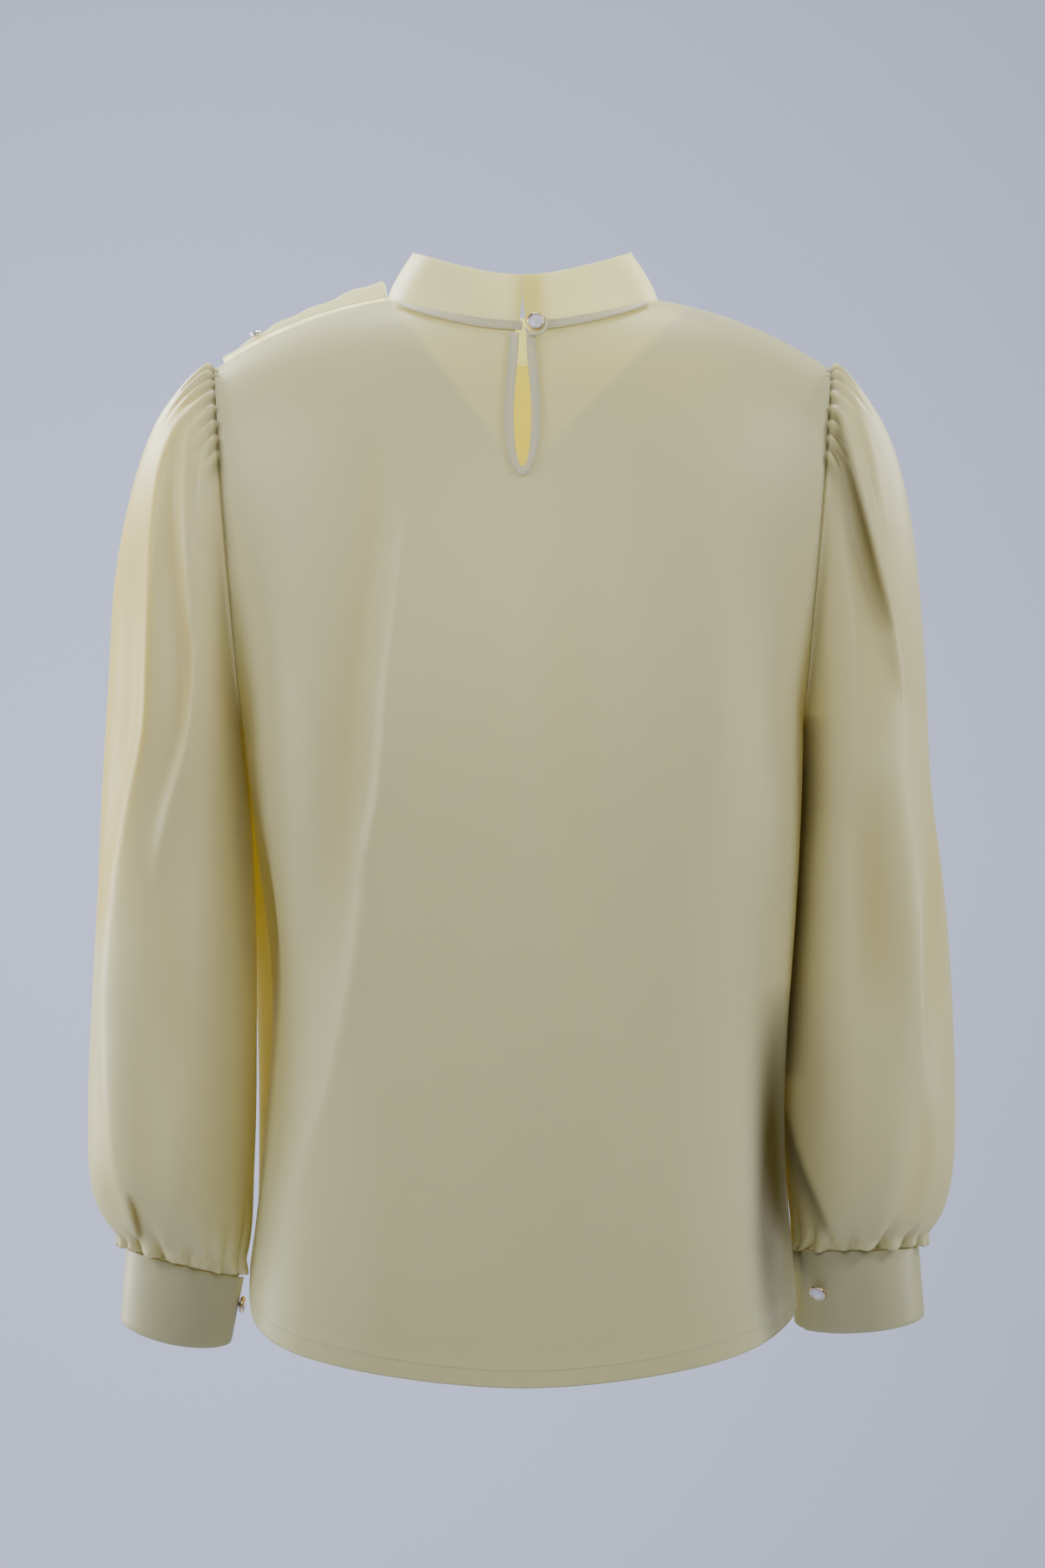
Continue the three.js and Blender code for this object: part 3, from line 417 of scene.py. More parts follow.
def neck_edge_v(panel, u):
    """The v at which the neck's edge crosses a panel at u."""
    return panel["neck_v"] * np.clip(1 - (u / NECK_U) ** 2, 0, None) ** NECK_SHAPE


def panel_columns(neck, shoulder):
    """The columns of a body panel, closest together where the neck's edge meets the shoulder."""
    inner = NECK_U * np.sin(np.pi / 2 * np.arange(neck + 1) / neck)
    outer = NECK_U + (1 - NECK_U) * np.arange(1, shoulder + 1) / shoulder
    half = np.concatenate([inner, outer])
    return np.concatenate([-half[:0:-1], half])


def swollen(grid, across, v, front, swells):
    """Moves broad bands of the panel out or in, as loosely hanging cloth does."""
    out, deep = section_at(across, v)
    length = np.maximum(np.hypot(out, deep), 1e-6)
    rise = np.zeros_like(across)
    for swell in swells:
        along = np.clip((v - swell["from_v"]) / (swell["to_v"] - swell["from_v"]), 0, 1)
        away = (across - swell["u"] - swell["drift"] * along) / swell["width"]
        rise += swell["rise"] * np.sin(np.pi * along) ** 2 * np.exp(-(away**2))
    rise *= smooth_step(1 - np.abs(across), 0, SWELL_HELD_NEAR_SEAM)
    grid = grid.copy()
    grid[..., 0] += rise * out / length
    grid[..., 1] += front * rise * deep / length
    return grid


def body_panel(name, panel, swells, folds, neck, shoulder, rows):
    """A body panel with its folds, its turned hem and its puckers, then its grid and where its rows lie."""
    u = panel_columns(neck, shoulder)
    above_edge = HEM_SHARE * (1 - np.arange(1, HEM_ROWS + 1) / HEM_ROWS)
    down = np.concatenate([np.linspace(0, 2 - HEM_SHARE, rows), 2 - above_edge])
    top = neck_edge_v(panel, u)
    v = top[None] + (2 - top)[None] * down[:, None] / 2
    across = np.broadcast_to(u, v.shape)
    grid = swollen(panel_point(panel, across, v), across, v, panel["front"], swells)
    grid = relaxed(grid, SMOOTHING_PASSES)
    # The folds fade out towards the seams, where the cloth is held.
    held = smooth_step(1 - np.abs(across), 0, 0.05) * smooth_step(v - top, 0, 0.12)
    grid[..., 1] += panel["front"] * held * fold_depth(grid[..., 0], grid[..., 2], folds)
    in_hem = smooth_step(down, 2 - HEM_SHARE * 1.05, 2 - HEM_SHARE * 0.9)[:, None]
    grid[..., 1] += panel["front"] * HEM_THICK * in_hem
    edge = HEM_PUCKER
    pucker = np.sin(across * edge["waves"])
    pucker = pucker + edge["share_of_more"] * np.sin(across * edge["more_waves"] + 1.3)
    near_hem = smooth_step(down, 1.93, 1.985)[:, None]
    towards_sides = smooth_step(np.abs(across), 0.45, 0.95)
    strength = edge["at_middle"] + (1 - edge["at_middle"]) * towards_sides
    grid[..., 1] += panel["front"] * edge["high"] * pucker * near_hem * strength
    uv = np.stack([grid[..., 0], grid[..., 2]], -1)
    made = mesh_of(name, grid, faces_of(*grid.shape[:2]), uv)
    # The folds' painted light and painted shade are kept on the cloth, to be mixed into its colour.
    yellow, dark = (fold_depth(grid[..., 0], grid[..., 2], folds, amount) for amount in ("yellow", "dark"))
    if "yellow_only_near_seam_y" in panel:
        past_seam = smooth_step(grid[..., 1], *panel["yellow_only_near_seam_y"])
        yellow *= 1 - past_seam * (np.abs(grid[..., 0]) > SEEN_THROUGH_KEYHOLE)
    paint_valley_light_and_shade(made, yellow, dark)
    face_towards(made, (0, 0, -0.35))
    return made, grid, down


def lit_v(tree, colour):
    """Mixes painted light, a lighter and yellower colour, into the cloth's colour in the V where light shines
    through.
    """
    where = tree.nodes.new("ShaderNodeTexCoord").outputs["Object"]
    place = new_node(tree, "ShaderNodeSeparateXYZ", {"Vector": where}).outputs

    def result_of(operation, first, second):
        return new_node(tree, "ShaderNodeMath", {0: first, 1: second}, operation=operation).outputs[0]

    left = result_of("MULTIPLY", place["X"], -LIT_V["left_slope"])
    right = result_of("MULTIPLY", place["X"], LIT_V["right_slope"])
    above = result_of("SUBTRACT", place["Z"], result_of("MAXIMUM", left, right))
    foot, soft = LIT_V["foot_z"], LIT_V["soft"]
    edge = {"Value": above, "From Min": foot - soft * 0.4, "From Max": foot + soft}
    inside = new_node(tree, "ShaderNodeMapRange", edge, interpolation_type="SMOOTHSTEP").outputs["Result"]
    full = foot * LIT_V["full_at"]
    rising = {"Value": place["Z"], "From Min": foot, "From Max": full, "To Min": LIT_V["at_foot"]}
    strength = new_node(tree, "ShaderNodeMapRange", rising).outputs["Result"]
    return mixed(tree, result_of("MULTIPLY", inside, strength), colour, LIT_V_COLOUR)


# How far to each side of the middle the front can be seen through the keyhole.
SEEN_THROUGH_KEYHOLE = 60.0
back_satin = satin("back satin", BACK_COLOUR, tint=lit_v)
back, back_grid, back_down = body_panel(
    "blouse_back", BACK, BACK_SWELLS, BACK_FOLDS, neck=34, shoulder=40, rows=170
)
thicken(back, FINE_CLOTH)
back.data.materials.append(back_satin)

# The keyhole is a drop-shaped slit cut down the middle of the back and bound all round.
KEYHOLE = {
    "bottom_z": -109.3, "top_z": -24.0, "widest": 11.4, "widest_z": -76.0, "mouth": 5.0, "foot_shape": 2.2,
}
KEYHOLE_CUT_BACK = 2.0
KEYHOLE_BLOCK = {"above_top": 40, "near_y": -130.0, "deep": 110}


def keyhole_half_width(z, grow):
    """Half the keyhole's width at z, with its outline moved out by grow."""
    k = KEYHOLE
    up = smooth_step(z, k["widest_z"], k["top_z"])
    above = (k["widest"] + (k["mouth"] - k["widest"]) * up) / 2 + grow
    down = np.clip((k["widest_z"] - z) / (k["widest_z"] - k["bottom_z"] + grow), 0, 1)
    below = (k["widest"] / 2 + grow) * np.sqrt(np.clip(1 - down ** k["foot_shape"], 0, None))
    return np.where(z > k["widest_z"], above, below)


def keyhole_outline(grow, steps, top_z):
    """The keyhole's outline, from its top left round its foot to its top right, as x and z."""
    low = KEYHOLE["bottom_z"] - grow
    z = low + (top_z - low) * (1 - np.cos(np.pi / 2 * np.arange(steps + 1) / steps))
    right = np.stack([keyhole_half_width(z, grow), z], -1)
    left = right[:0:-1] * [-1, 1]
    return np.concatenate([left, right])


def cut_keyhole(cloth):
    """Cuts the keyhole through the back with a closed drop-shaped block."""
    outline = keyhole_outline(KEYHOLE_CUT_BACK, 24, KEYHOLE["top_z"] + KEYHOLE_BLOCK["above_top"])
    count = len(outline)
    near = np.concatenate([outline[:, :1], np.full((count, 1), KEYHOLE_BLOCK["near_y"]), outline[:, 1:]], 1)
    far = near + [0, KEYHOLE_BLOCK["deep"], 0]
    points = np.concatenate([near, far]) * MM
    ring = [(i, count + i, count + (i + 1) % count, (i + 1) % count) for i in range(count)]
    mesh = bpy.data.meshes.new("keyhole cutter")
    mesh.from_pydata(points.tolist(), [], ring + [tuple(range(count)), tuple(range(count, 2 * count))[::-1]])
    cutter = bpy.data.objects.new("keyhole cutter", mesh)
    bpy.context.collection.objects.link(cutter)
    cut = cloth.modifiers.new("keyhole", "BOOLEAN")
    cut.operation = "DIFFERENCE"
    cut.solver = "EXACT"
    cut.object = cutter
    apply_modifiers(cloth)
    bpy.data.objects.remove(cutter)


cut_keyhole(back)
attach(back, "root")
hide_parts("back")

# The front: the same satin, cut high round the neck and fuller over the bust. Only its side shows from
# behind, where the left side swells past the back and catches the light.
FRONT = {
    "front": 1,
    "neck_v": 0.27,
    "v": [0, 0.1, 0.27, 0.5, 0.7, 1, 1.35, 1.7, 2],
    "z": [6, -5, -38, -100, -170, -262, -380, -530, -664],
    "y": [2, 28, 55, 82, 104, 118, 112, 107, 110],
    "yellow_only_near_seam_y": (12, 26),
}
# The front's folds; their yellow and dark are painted light and painted shade, as on the back.
FRONT_FOLDS = [
    dict(name="left bust fold", width=16, rise=5.0,
         path=[(-88, -180), (-84, -280), (-80, -400), (-76, -520), (-74, -660)], runs_off=True),
    dict(name="trough inside the left fold", width=15, rise=-4.0,
         path=[(-58, -210), (-52, -320), (-48, -440), (-46, -560)]),
    dict(name="right bust fold", width=16, rise=5.0,
         path=[(86, -185), (80, -290), (74, -410), (70, -530), (66, -660)], runs_off=True),
    dict(name="trough inside the right fold", width=14, rise=-3.6,
         path=[(56, -220), (50, -330), (44, -450), (40, -570)]),
    dict(name="centre hang", width=20, rise=2.8, path=[(4, -260), (0, -380), (-4, -500), (-6, -640)]),
    dict(name="left side trough", width=14, rise=-4.0,
         path=[(-128, -230), (-124, -330), (-120, -430), (-116, -540)]),
    dict(name="right side trough", width=14, rise=-4.0,
         path=[(126, -240), (120, -340), (114, -440), (112, -560)]),
    dict(name="left shoulder drag", width=12, rise=2.2, path=[(-120, -60), (-108, -120), (-96, -190)]),
    dict(name="right shoulder drag", width=12, rise=2.4, path=[(122, -60), (108, -125), (94, -195)]),
    dict(name="left armhole pull", width=10, rise=-2.2, path=[(-150, -150), (-138, -200), (-118, -260)]),
    dict(name="right armhole pull", width=10, rise=-2.2, path=[(150, -145), (138, -200), (116, -265)]),
    dict(name="left side in the light", width=15, rise=0, yellow=1.6,
         path=[(-178, -270), (-176, -330), (-172, -390), (-169, -440), (-166, -500), (-165, -580)]),
    dict(name="right side in the shade", width=12, rise=0, yellow=0.6,
         path=[(168, -380), (164, -440), (162, -500), (164, -560), (168, -600)]),
    dict(name="seen through the keyhole", width=34, rise=0, yellow=1.0,
         path=[(0, -36), (0, -75), (0, -150)]),
]
FRONT_SWELLS = [
    dict(name="left bust", u=-0.5, drift=0.08, from_v=0.8, to_v=2.2, width=0.1, rise=5),
    dict(name="right bust", u=0.46, drift=-0.06, from_v=0.85, to_v=2.2, width=0.1, rise=5),
    dict(name="left side swell", u=-0.74, drift=0, from_v=0.7, to_v=2.1, width=0.11, rise=19),
    dict(name="right side pinch", u=0.84, drift=0, from_v=1.1, to_v=1.9, width=0.08, rise=-4),
    dict(name="low right side swell", u=0.76, drift=0, from_v=1.3, to_v=2.7, width=0.11, rise=8),
]
front_satin = satin(
    "front satin", (0.68, 0.65, 0.42, 1), see_through=0.6, painted_valley_light=(0.85, 0.72, 0.18, 1)
)
front, front_grid, front_down = body_panel(
    "blouse_front", FRONT, FRONT_SWELLS, FRONT_FOLDS, neck=26, shoulder=30, rows=150
)
thicken(front, FINE_CLOTH)
# What is seen through the keyhole is the front's inner face, so the painted light there is taken off its
# outer face, which keeps the plain colour.
lit = front.data.attributes["valley"].data
for vertex, value in zip(front.data.vertices[: front_grid[..., 0].size], lit):
    if abs(vertex.co.x) < SEEN_THROUGH_KEYHOLE * MM:
        value.value = 0
front.data.materials.append(front_satin)
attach(front, "root")
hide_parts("front")

# The stand collar: a strip folded double and sewn round the neck's edge, its two ends meeting at the
# middle of the back. It leans inwards, and light shines through its two layers.
COLLAR_HIGH = 30.5
COLLAR_CLOTH = 1.3
COLLAR_SEAM = 0.3
COLLAR_EDGE_ROUND = 0.45
COLLAR_LEAN = {"up": [0, 0.3, 0.65, 1], "inward": [0, 0.22, 0.58, 1], "across": 0.2, "deep": 0.14}
COLLAR_RIPPLE = {"across": 0.004, "across_waves": 5, "deep": 0.012, "deep_waves": 7}
# Half the gap between its ends, which opens towards the seam, and how much of each end makes room for it.
COLLAR_SPLIT = {"half": 0.15, "opens_by": 1.8, "opens_below": 0.5, "end_long": 14.0}
# Near its ends the strip is folded over once more and less light comes through, so a darker, yellower
# colour is painted there for that light and shade.
COLLAR_FOLDED_ENDS = {"middle_x": 4.5, "whole_within": 3, "gone_at": 15, "yellow": 0.75}


def collar_grid(steps, rows):
    """The collar's outer face, row by row up from its seam, from one end round to the other."""
    turn = 2 * np.pi * np.arange(steps + 1) / steps
    u = -NECK_U * np.sin(turn)
    base = np.where(
        (np.cos(turn) > 0)[:, None],
        panel_point(BACK, u, neck_edge_v(BACK, u)),
        panel_point(FRONT, u, neck_edge_v(FRONT, u)),
    )
    grid = []
    for up in np.linspace(0, 1, rows):
        inward = curve_through(COLLAR_LEAN["up"], COLLAR_LEAN["inward"], up)
        row = base.copy()
        row[:, 0] = row[:, 0] * (1 - COLLAR_LEAN["across"] * inward) + COLLAR_SEAM * np.sin(turn)
        row[:, 1] -= (row[:, 1] - RIDGE_Y) * COLLAR_LEAN["deep"] * inward - COLLAR_SEAM * np.cos(turn)
        row[:, 2] += COLLAR_HIGH * up
        row[:, 0] *= 1 + COLLAR_RIPPLE["across"] * np.sin(COLLAR_RIPPLE["across_waves"] * turn + 0.6) * up
        row[:, 1] *= 1 + COLLAR_RIPPLE["deep"] * np.sin(COLLAR_RIPPLE["deep_waves"] * turn) * up
        opening = max(0.0, 1 - up / COLLAR_SPLIT["opens_below"])
        gap = COLLAR_SPLIT["half"] + COLLAR_SPLIT["opens_by"] * opening
        near_end = COLLAR_SPLIT["end_long"]
        for end, side in ((0, -1), (steps, 1)):
            away = np.abs(row[:, 0])
            beside = (np.cos(turn) > 0) & (away < near_end) & (np.sign(-np.sin(turn + 1e-9) * side) >= 0)
            row[beside, 0] = side * (gap + (near_end - gap) * away[beside] / near_end)
            row[end, 0] = side * gap
        grid.append(row)
    return np.array(grid)


def round_uv(grid, row):
    """The cloth's own coordinates for a form that runs round: how far along the row, and how high."""
    along = np.cumsum(np.linalg.norm(np.diff(grid[row], axis=0, prepend=grid[row][:1]), axis=1))
    return np.stack([np.broadcast_to(along, grid.shape[:2]), grid[..., 2]], -1)


def round_edges(obj, by):
    """Rounds the folded or pressed edges of a doubled cloth, by so many millimetres."""
    edge = obj.modifiers.new("rounded edge", "BEVEL")
    edge.width = by * MM
    edge.segments = 2
    edge.limit_method = "ANGLE"
    apply_modifiers(obj)


collar_points = collar_grid(steps=192, rows=14)
collar_quads = faces_of(*collar_points.shape[:2])
collar = mesh_of("stand_collar", collar_points, collar_quads, round_uv(collar_points, 0))
from_ends = np.abs(collar_points[..., 0] - COLLAR_FOLDED_ENDS["middle_x"])
beside_ends = 1 - smooth_step(from_ends, COLLAR_FOLDED_ENDS["whole_within"], COLLAR_FOLDED_ENDS["gone_at"])
paint_valley_light_and_shade(collar, COLLAR_FOLDED_ENDS["yellow"] * beside_ends * (collar_points[..., 1] < 0))
face_towards(collar, (0, 0, 0))
thicken(collar, COLLAR_CLOTH)
round_edges(collar, COLLAR_EDGE_ROUND)
# The collar's colour is painted much paler than the back's, for the light that shines through its layers.
collar_satin = satin(
    "collar satin", (0.94, 0.92, 0.64, 1), glow=(0.95, 0.92, 0.52, 1), see_through=0.5, sheen=0.3
)
collar.data.materials.append(collar_satin)
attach(collar, "root")
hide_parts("collar")

# The bindings: bias strips of the same cloth folded over the raw edges of the neck and the keyhole, and
# topstitched near their inner edge. The strip round the keyhole is narrower than the neck's. share is how
# wide each is against the section's table, and lift how far its section's foot lies off the panel.
NECK_ENDS = {"left": -0.4, "right": 14.5, "at_shoulders": NECK_X * 0.992}
NECK_BINDING = {"share": 1.12, "lift": 0.25, "pucker": 0.12, "pucker_waves": 1.9, "puckers_beyond": 4}
KEYHOLE_BINDING = {"share": 0.76, "lift": 0.3, "ease": 0.1, "top_z": -25.0}
BINDING_CLOTH = 0.5


def panel_frame(panel, u, v):
    """A panel's points with their outward directions."""
    step = 0.004
    across = panel_point(panel, u + step, v) - panel_point(panel, u - step, v)
    down = panel_point(panel, u, v + step) - panel_point(panel, u, np.maximum(v - step, 0))
    out = np.cross(across, down) * panel["front"]
    return panel_point(panel, u, v), out / np.linalg.norm(out, axis=-1, keepdims=True)


def back_at(x, z):
    """The u and v of the back's point at x and z."""
    x, z = np.asarray(x, float), np.asarray(z, float)
    u, v = x / SHOULDER_TIP["x"], np.full_like(x, 0.4)
    step = 0.002
    for _ in range(14):
        here = panel_point(BACK, u, v)
        du = (panel_point(BACK, u + step, v) - here) / step
        dv = (panel_point(BACK, u, v + step) - here) / step
        det = du[..., 0] * dv[..., 2] - du[..., 2] * dv[..., 0]
        left_x, left_z = x - here[..., 0], z - here[..., 2]
        u = u + (left_x * dv[..., 2] - left_z * dv[..., 0]) / det
        v = np.maximum(v + (du[..., 0] * left_z - du[..., 2] * left_x) / det, 0.02)
    return u, v


def on_back(x, z, off):
    """Points over the back at x and z, off its face by off."""
    here, out = panel_frame(BACK, *back_at(x, z))
    return here + out * np.asarray(off)[..., None]


# A binding's section: how far across it, from the cloth's edge, and how high above the cloth.
BINDING_SECTION = {
    "across": [-0.45, -0.5, -0.2, 0.35, 1.2, 2.8, 4.9, 5.9, 6.7, 7.2, 7.4],
    "high": [-1.2, 0.1, 0.8, 1.15, 1.3, 1.32, 1.28, 1.12, 1.2, 0.95, 0.1],
}


def neck_binding(from_x, to_x, steps):
    """The points of a strip laid along the neck's edge from one x to another."""
    angle = np.arcsin(np.array([from_x, to_x]) / NECK_X) / (np.pi / 2)
    u = NECK_U * (angle[0] + (angle[1] - angle[0]) * np.arange(steps + 1) / steps)
    v = neck_edge_v(BACK, u)
    edge, out = panel_frame(BACK, u, v)
    below, _ = panel_frame(BACK, u, v + 0.01)
    down = below - edge
    down /= np.linalg.norm(down, axis=-1, keepdims=True)
    rows = []
    waves = np.sin(np.arange(steps + 1) * NECK_BINDING["pucker_waves"])
    for across, high in zip(*BINDING_SECTION.values()):
        pucker = NECK_BINDING["pucker"] * waves * (across > NECK_BINDING["puckers_beyond"])
        lift = (high + NECK_BINDING["lift"] + pucker)[:, None]
        rows.append(edge + down * across * NECK_BINDING["share"] + out * lift)
    return np.array(rows)


def keyhole_binding(steps):
    """The points of the strip round the keyhole, wrapped over the cut edge."""
    rows = []
    for across, high in zip(*BINDING_SECTION.values()):
        grow = across * KEYHOLE_BINDING["share"] + KEYHOLE_BINDING["ease"]
        outline = keyhole_outline(grow, steps, KEYHOLE_BINDING["top_z"])
        lift = np.full(len(outline), high + KEYHOLE_BINDING["lift"])
        rows.append(on_back(outline[:, 0], outline[:, 1], lift))
    return np.array(rows)


binding_satin = satin("binding satin", (0.64, 0.62, 0.44, 1), see_through=0.25, roughness=0.5)
bindings = {
    "neck_binding_left": neck_binding(-NECK_ENDS["at_shoulders"], NECK_ENDS["left"], steps=150),
    "neck_binding_right": neck_binding(NECK_ENDS["right"], NECK_ENDS["at_shoulders"], steps=150),
    "keyhole_binding": keyhole_binding(steps=70),
}
BINDING_INSIDES = {
    "neck_binding_left": (0, -0.03, -0.03),
    "neck_binding_right": (0, -0.03, -0.03),
    "keyhole_binding": (0, -0.04, -0.07),
}
for node, grid in bindings.items():
    along = np.cumsum(np.linalg.norm(np.diff(grid[5], axis=0, prepend=grid[5][:1]), axis=1))
    if node != "keyhole_binding":
        along = grid[0][:, 0] + grid[0][:, 2]
    uv = np.stack(np.broadcast_arrays(along[None], np.array(BINDING_SECTION["across"])[:, None]), -1)
    strip = mesh_of(f"{node}_strip", grid, faces_of(*grid.shape[:2]), uv)
    face_towards(strip, BINDING_INSIDES[node])
    thicken(strip, BINDING_CLOTH)
    strip.data.materials.append(binding_satin)
    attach(strip, "root")
    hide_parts(node)

# The topstitching: a lockstitch in pale thread along the bindings and the hem, each stitch a short bead
# of thread lying on the cloth.
THREAD_COLOUR = (0.42, 0.39, 0.25, 1)
HEM_STITCH = {"long": 2.1, "gap": 0.9, "off": 0.15, "share_of_hem": 0.95}
BINDING_STITCH = {"long": 1.9, "gap": 1.0, "section_point": 7}
THREAD_THICK = 0.42


def stitch_tree():
    """Lays stitches end to end along a line of edges."""
    tree = bpy.data.node_groups.new("Stitches along a seam", "GeometryNodeTree")
    tree.is_modifier = True
    new_socket = tree.interface.new_socket
    new_socket("Geometry", in_out="INPUT", socket_type="NodeSocketGeometry")
    for name, value in (("Stitch Length", 0.002), ("Gap", 0.001), ("Thread Width", 0.0003)):
        socket = new_socket(name, in_out="INPUT", socket_type="NodeSocketFloat")
        socket.default_value = value
    new_socket("Thread", in_out="INPUT", socket_type="NodeSocketMaterial")
    new_socket("Geometry", in_out="OUTPUT", socket_type="NodeSocketGeometry")
    given = tree.nodes.new("NodeGroupInput").outputs
    seam = new_node(tree, "GeometryNodeMeshToCurve", {"Mesh": given["Geometry"]}).outputs["Curve"]
    pitch = new_node(tree, "ShaderNodeMath", {0: given["Stitch Length"], 1: given["Gap"]}).outputs[0]
    spacing = {"Curve": seam, "Length": pitch}
    spaced = new_node(tree, "GeometryNodeCurveToPoints", spacing, mode="LENGTH").outputs
    bead_size = {"Segments": 8, "Rings": 6, "Radius": 0.5}
    bead = new_node(tree, "GeometryNodeMeshUVSphere", bead_size).outputs["Mesh"]
    sizes = {"X": given["Thread Width"], "Y": given["Thread Width"], "Z": given["Stitch Length"]}
    size = new_node(tree, "ShaderNodeCombineXYZ", sizes).outputs["Vector"]
    placed = {"Points": spaced["Points"], "Instance": bead, "Rotation": spaced["Rotation"], "Scale": size}
    laid = new_node(tree, "GeometryNodeInstanceOnPoints", placed).outputs["Instances"]
    real = new_node(tree, "GeometryNodeRealizeInstances", {"Geometry": laid}).outputs["Geometry"]
    dressed = new_node(tree, "GeometryNodeSetMaterial", {"Geometry": real, "Material": given["Thread"]})
    new_node(tree, "NodeGroupOutput", {"Geometry": dressed.outputs["Geometry"]})
    return tree


STITCH_TREE = stitch_tree()


THREAD = finish("sewing thread", {"Base Color": THREAD_COLOUR, "Roughness": 0.6, "Sheen Weight": 0.3})


def stitches(name, lines, long, gap):
    """One piece of stitching that follows each line of points, in millimetres."""
    points, edges = [], []
    for line in lines:
        first = len(points)
        points.extend((np.asarray(line) * MM).tolist())
        edges.extend((first + i, first + i + 1) for i in range(len(line) - 1))
    mesh = bpy.data.meshes.new(name)
    mesh.from_pydata(points, edges, [])
    made = bpy.data.objects.new(name, mesh)
    bpy.context.collection.objects.link(made)
    sewing = made.modifiers.new("stitches", "NODES")
    sewing.node_group = STITCH_TREE
    sizes = {"Stitch Length": long, "Gap": gap, "Thread Width": THREAD_THICK}
    values = {socket: size * MM for socket, size in sizes.items()} | {"Thread": THREAD}
    for item in STITCH_TREE.interface.items_tree:
        if item.in_out == "INPUT" and item.name in values:
            sewing[item.identifier] = values[item.name]
    apply_modifiers(made)
    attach(made, "root")
    return made


binding_lines = []
for node, off in (("neck_binding_left", 0.12), ("neck_binding_right", 0.12), ("keyhole_binding", 0.15)):
    binding_lines.append(bindings[node][BINDING_STITCH["section_point"]] + [0, -off, 0.05])
binding_stitches = stitches("binding_stitches", binding_lines, BINDING_STITCH["long"], BINDING_STITCH["gap"])
hem_lines = []
for grid, down, way in ((back_grid, back_down, -1), (front_grid, front_down, 1)):
    row = int(np.searchsorted(down, 2 - HEM_SHARE * HEM_STITCH["share_of_hem"]))
    hem_lines.append(grid[row, 2:-2] + [0, way * HEM_STITCH["off"], 0])
hem_stitches = stitches("hem_stitches", hem_lines, HEM_STITCH["long"], HEM_STITCH["gap"])

# The buttons: a pearly face set in a pale gold rim, on a short shank. One closes the neck through a loop
# of cloth, and one closes each cuff.
BUTTON = {"radius": 5.6, "thick": 2.8, "shank": 0.22}
PEARL_COLOURS = ((0.50, 0.51, 0.66, 1), (0.74, 0.77, 0.83, 1))
NECK_BUTTON = {"x": 7.8, "z": -20.0, "off": 3.9, "facing": (0.2, -1.0, 0.12)}


def pearl():
    """Mother-of-pearl: white with soft clouds of lilac and green."""
    material = finish("pearl face", {"Roughness": 0.18, "Coat Weight": 0.6})
    tree = material.node_tree
    where = tree.nodes.new("ShaderNodeTexCoord").outputs["Object"]
    ramp = new_node(tree, "ShaderNodeValToRGB", {"Fac": noise(tree, where, 260.0, 2.0)})
    for stop, position, colour in zip(ramp.color_ramp.elements, (0.35, 0.65), PEARL_COLOURS):
        stop.position = position
        stop.color = colour
    wire(tree, tree.nodes["Principled BSDF"], {"Base Color": ramp.outputs["Color"]})
    return material


GOLD = finish("pale gold rim", {"Base Color": (0.78, 0.62, 0.44, 1), "Metallic": 1.0, "Roughness": 0.22})
PEARL = pearl()


def turned(name, profile, place, facing, sides=40):
    """A turned form: its profile of (radius, height) spun round the facing direction at place."""
    spin = 2 * np.pi * np.arange(sides) / sides
    rings = np.array([[(r * math.cos(a), r * math.sin(a), h) for a in spin] for r, h in profile])
    turn = Vector((0, 0, 1)).rotation_difference(Vector(facing)).to_matrix()
    points = rings.reshape(-1, 3) @ np.array(turn).T + np.asarray(place)
    quads = faces_of(len(profile), sides, ring=True)
    mesh = bpy.data.meshes.new(name)
    caps = [tuple(range(sides)), tuple((len(profile) - 1) * sides + i for i in range(sides))]
    mesh.from_pydata((points * MM).tolist(), [], quads.tolist() + [caps[0][::-1], caps[1]])
    mesh.polygons.foreach_set("use_smooth", [len(p.vertices) == 4 for p in mesh.polygons])
    made = bpy.data.objects.new(name, mesh)
    bpy.context.collection.objects.link(made)
    volume = sum(p.center.dot(p.normal) * p.area for p in mesh.polygons)
    if volume < 0:
        mesh.flip_normals()
    return made


def button(node, place, facing):
    """A rim and a face, each in place of its CAD node."""
    radius, thick = BUTTON["radius"], BUTTON["thick"]
    shank = radius * 0.3
    rim_profile = [
        (shank, -thick * BUTTON["shank"]), (shank, 0.1), (radius * 0.82, thick * 0.12),
        (radius * 0.94, thick * 0.25), (radius, thick * 0.5), (radius * 0.98, thick * 0.78),
        (radius * 0.92, thick * 0.96), (radius * 0.86, thick), (radius * 0.81, thick * 0.94),
        (radius * 0.79, thick * 0.64), (radius * 0.2, thick * 0.62),
    ]
    low = thick * 0.62 + 0.1
    disc = radius * 0.77
    face_profile = [
        (disc * 0.9, low), (disc, low + 0.25), (disc, low + 0.62), (disc * 0.94, low + 0.86),
        (disc * 0.8, low + 1.02), (disc * 0.55, low + 1.18), (disc * 0.25, low + 1.26), (0.15, low + 1.28),
    ]
    for part, profile, material, slot in (
        ("rim", rim_profile, GOLD, "warm_metal"),
        ("face", face_profile, PEARL, "pearl"),
    ):
        made = turned(f"{node}_{part}_turned", profile, place, facing)
        made.data.materials.append(material)
        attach(made, "root")
        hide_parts(f"{node}_{part}")


neck_button_place = on_back(*(np.array([NECK_BUTTON[key]]) for key in ("x", "z", "off")))[0]
button("neck_button", neck_button_place, NECK_BUTTON["facing"])

# The loop: a thin tube of cloth from the right end of the neck binding, round under the button.
LOOP_RADIUS = 1.0
LOOP = {
    "x": [12.6, 14.6, 14.2, 9.8, 4.4, 1.6],
    "z": [-15.5, -19, -24, -27.6, -27.4, -24.2],
    "off": [2.4, 2.9, 2.9, 2.9, 2.9, 2.9],
}


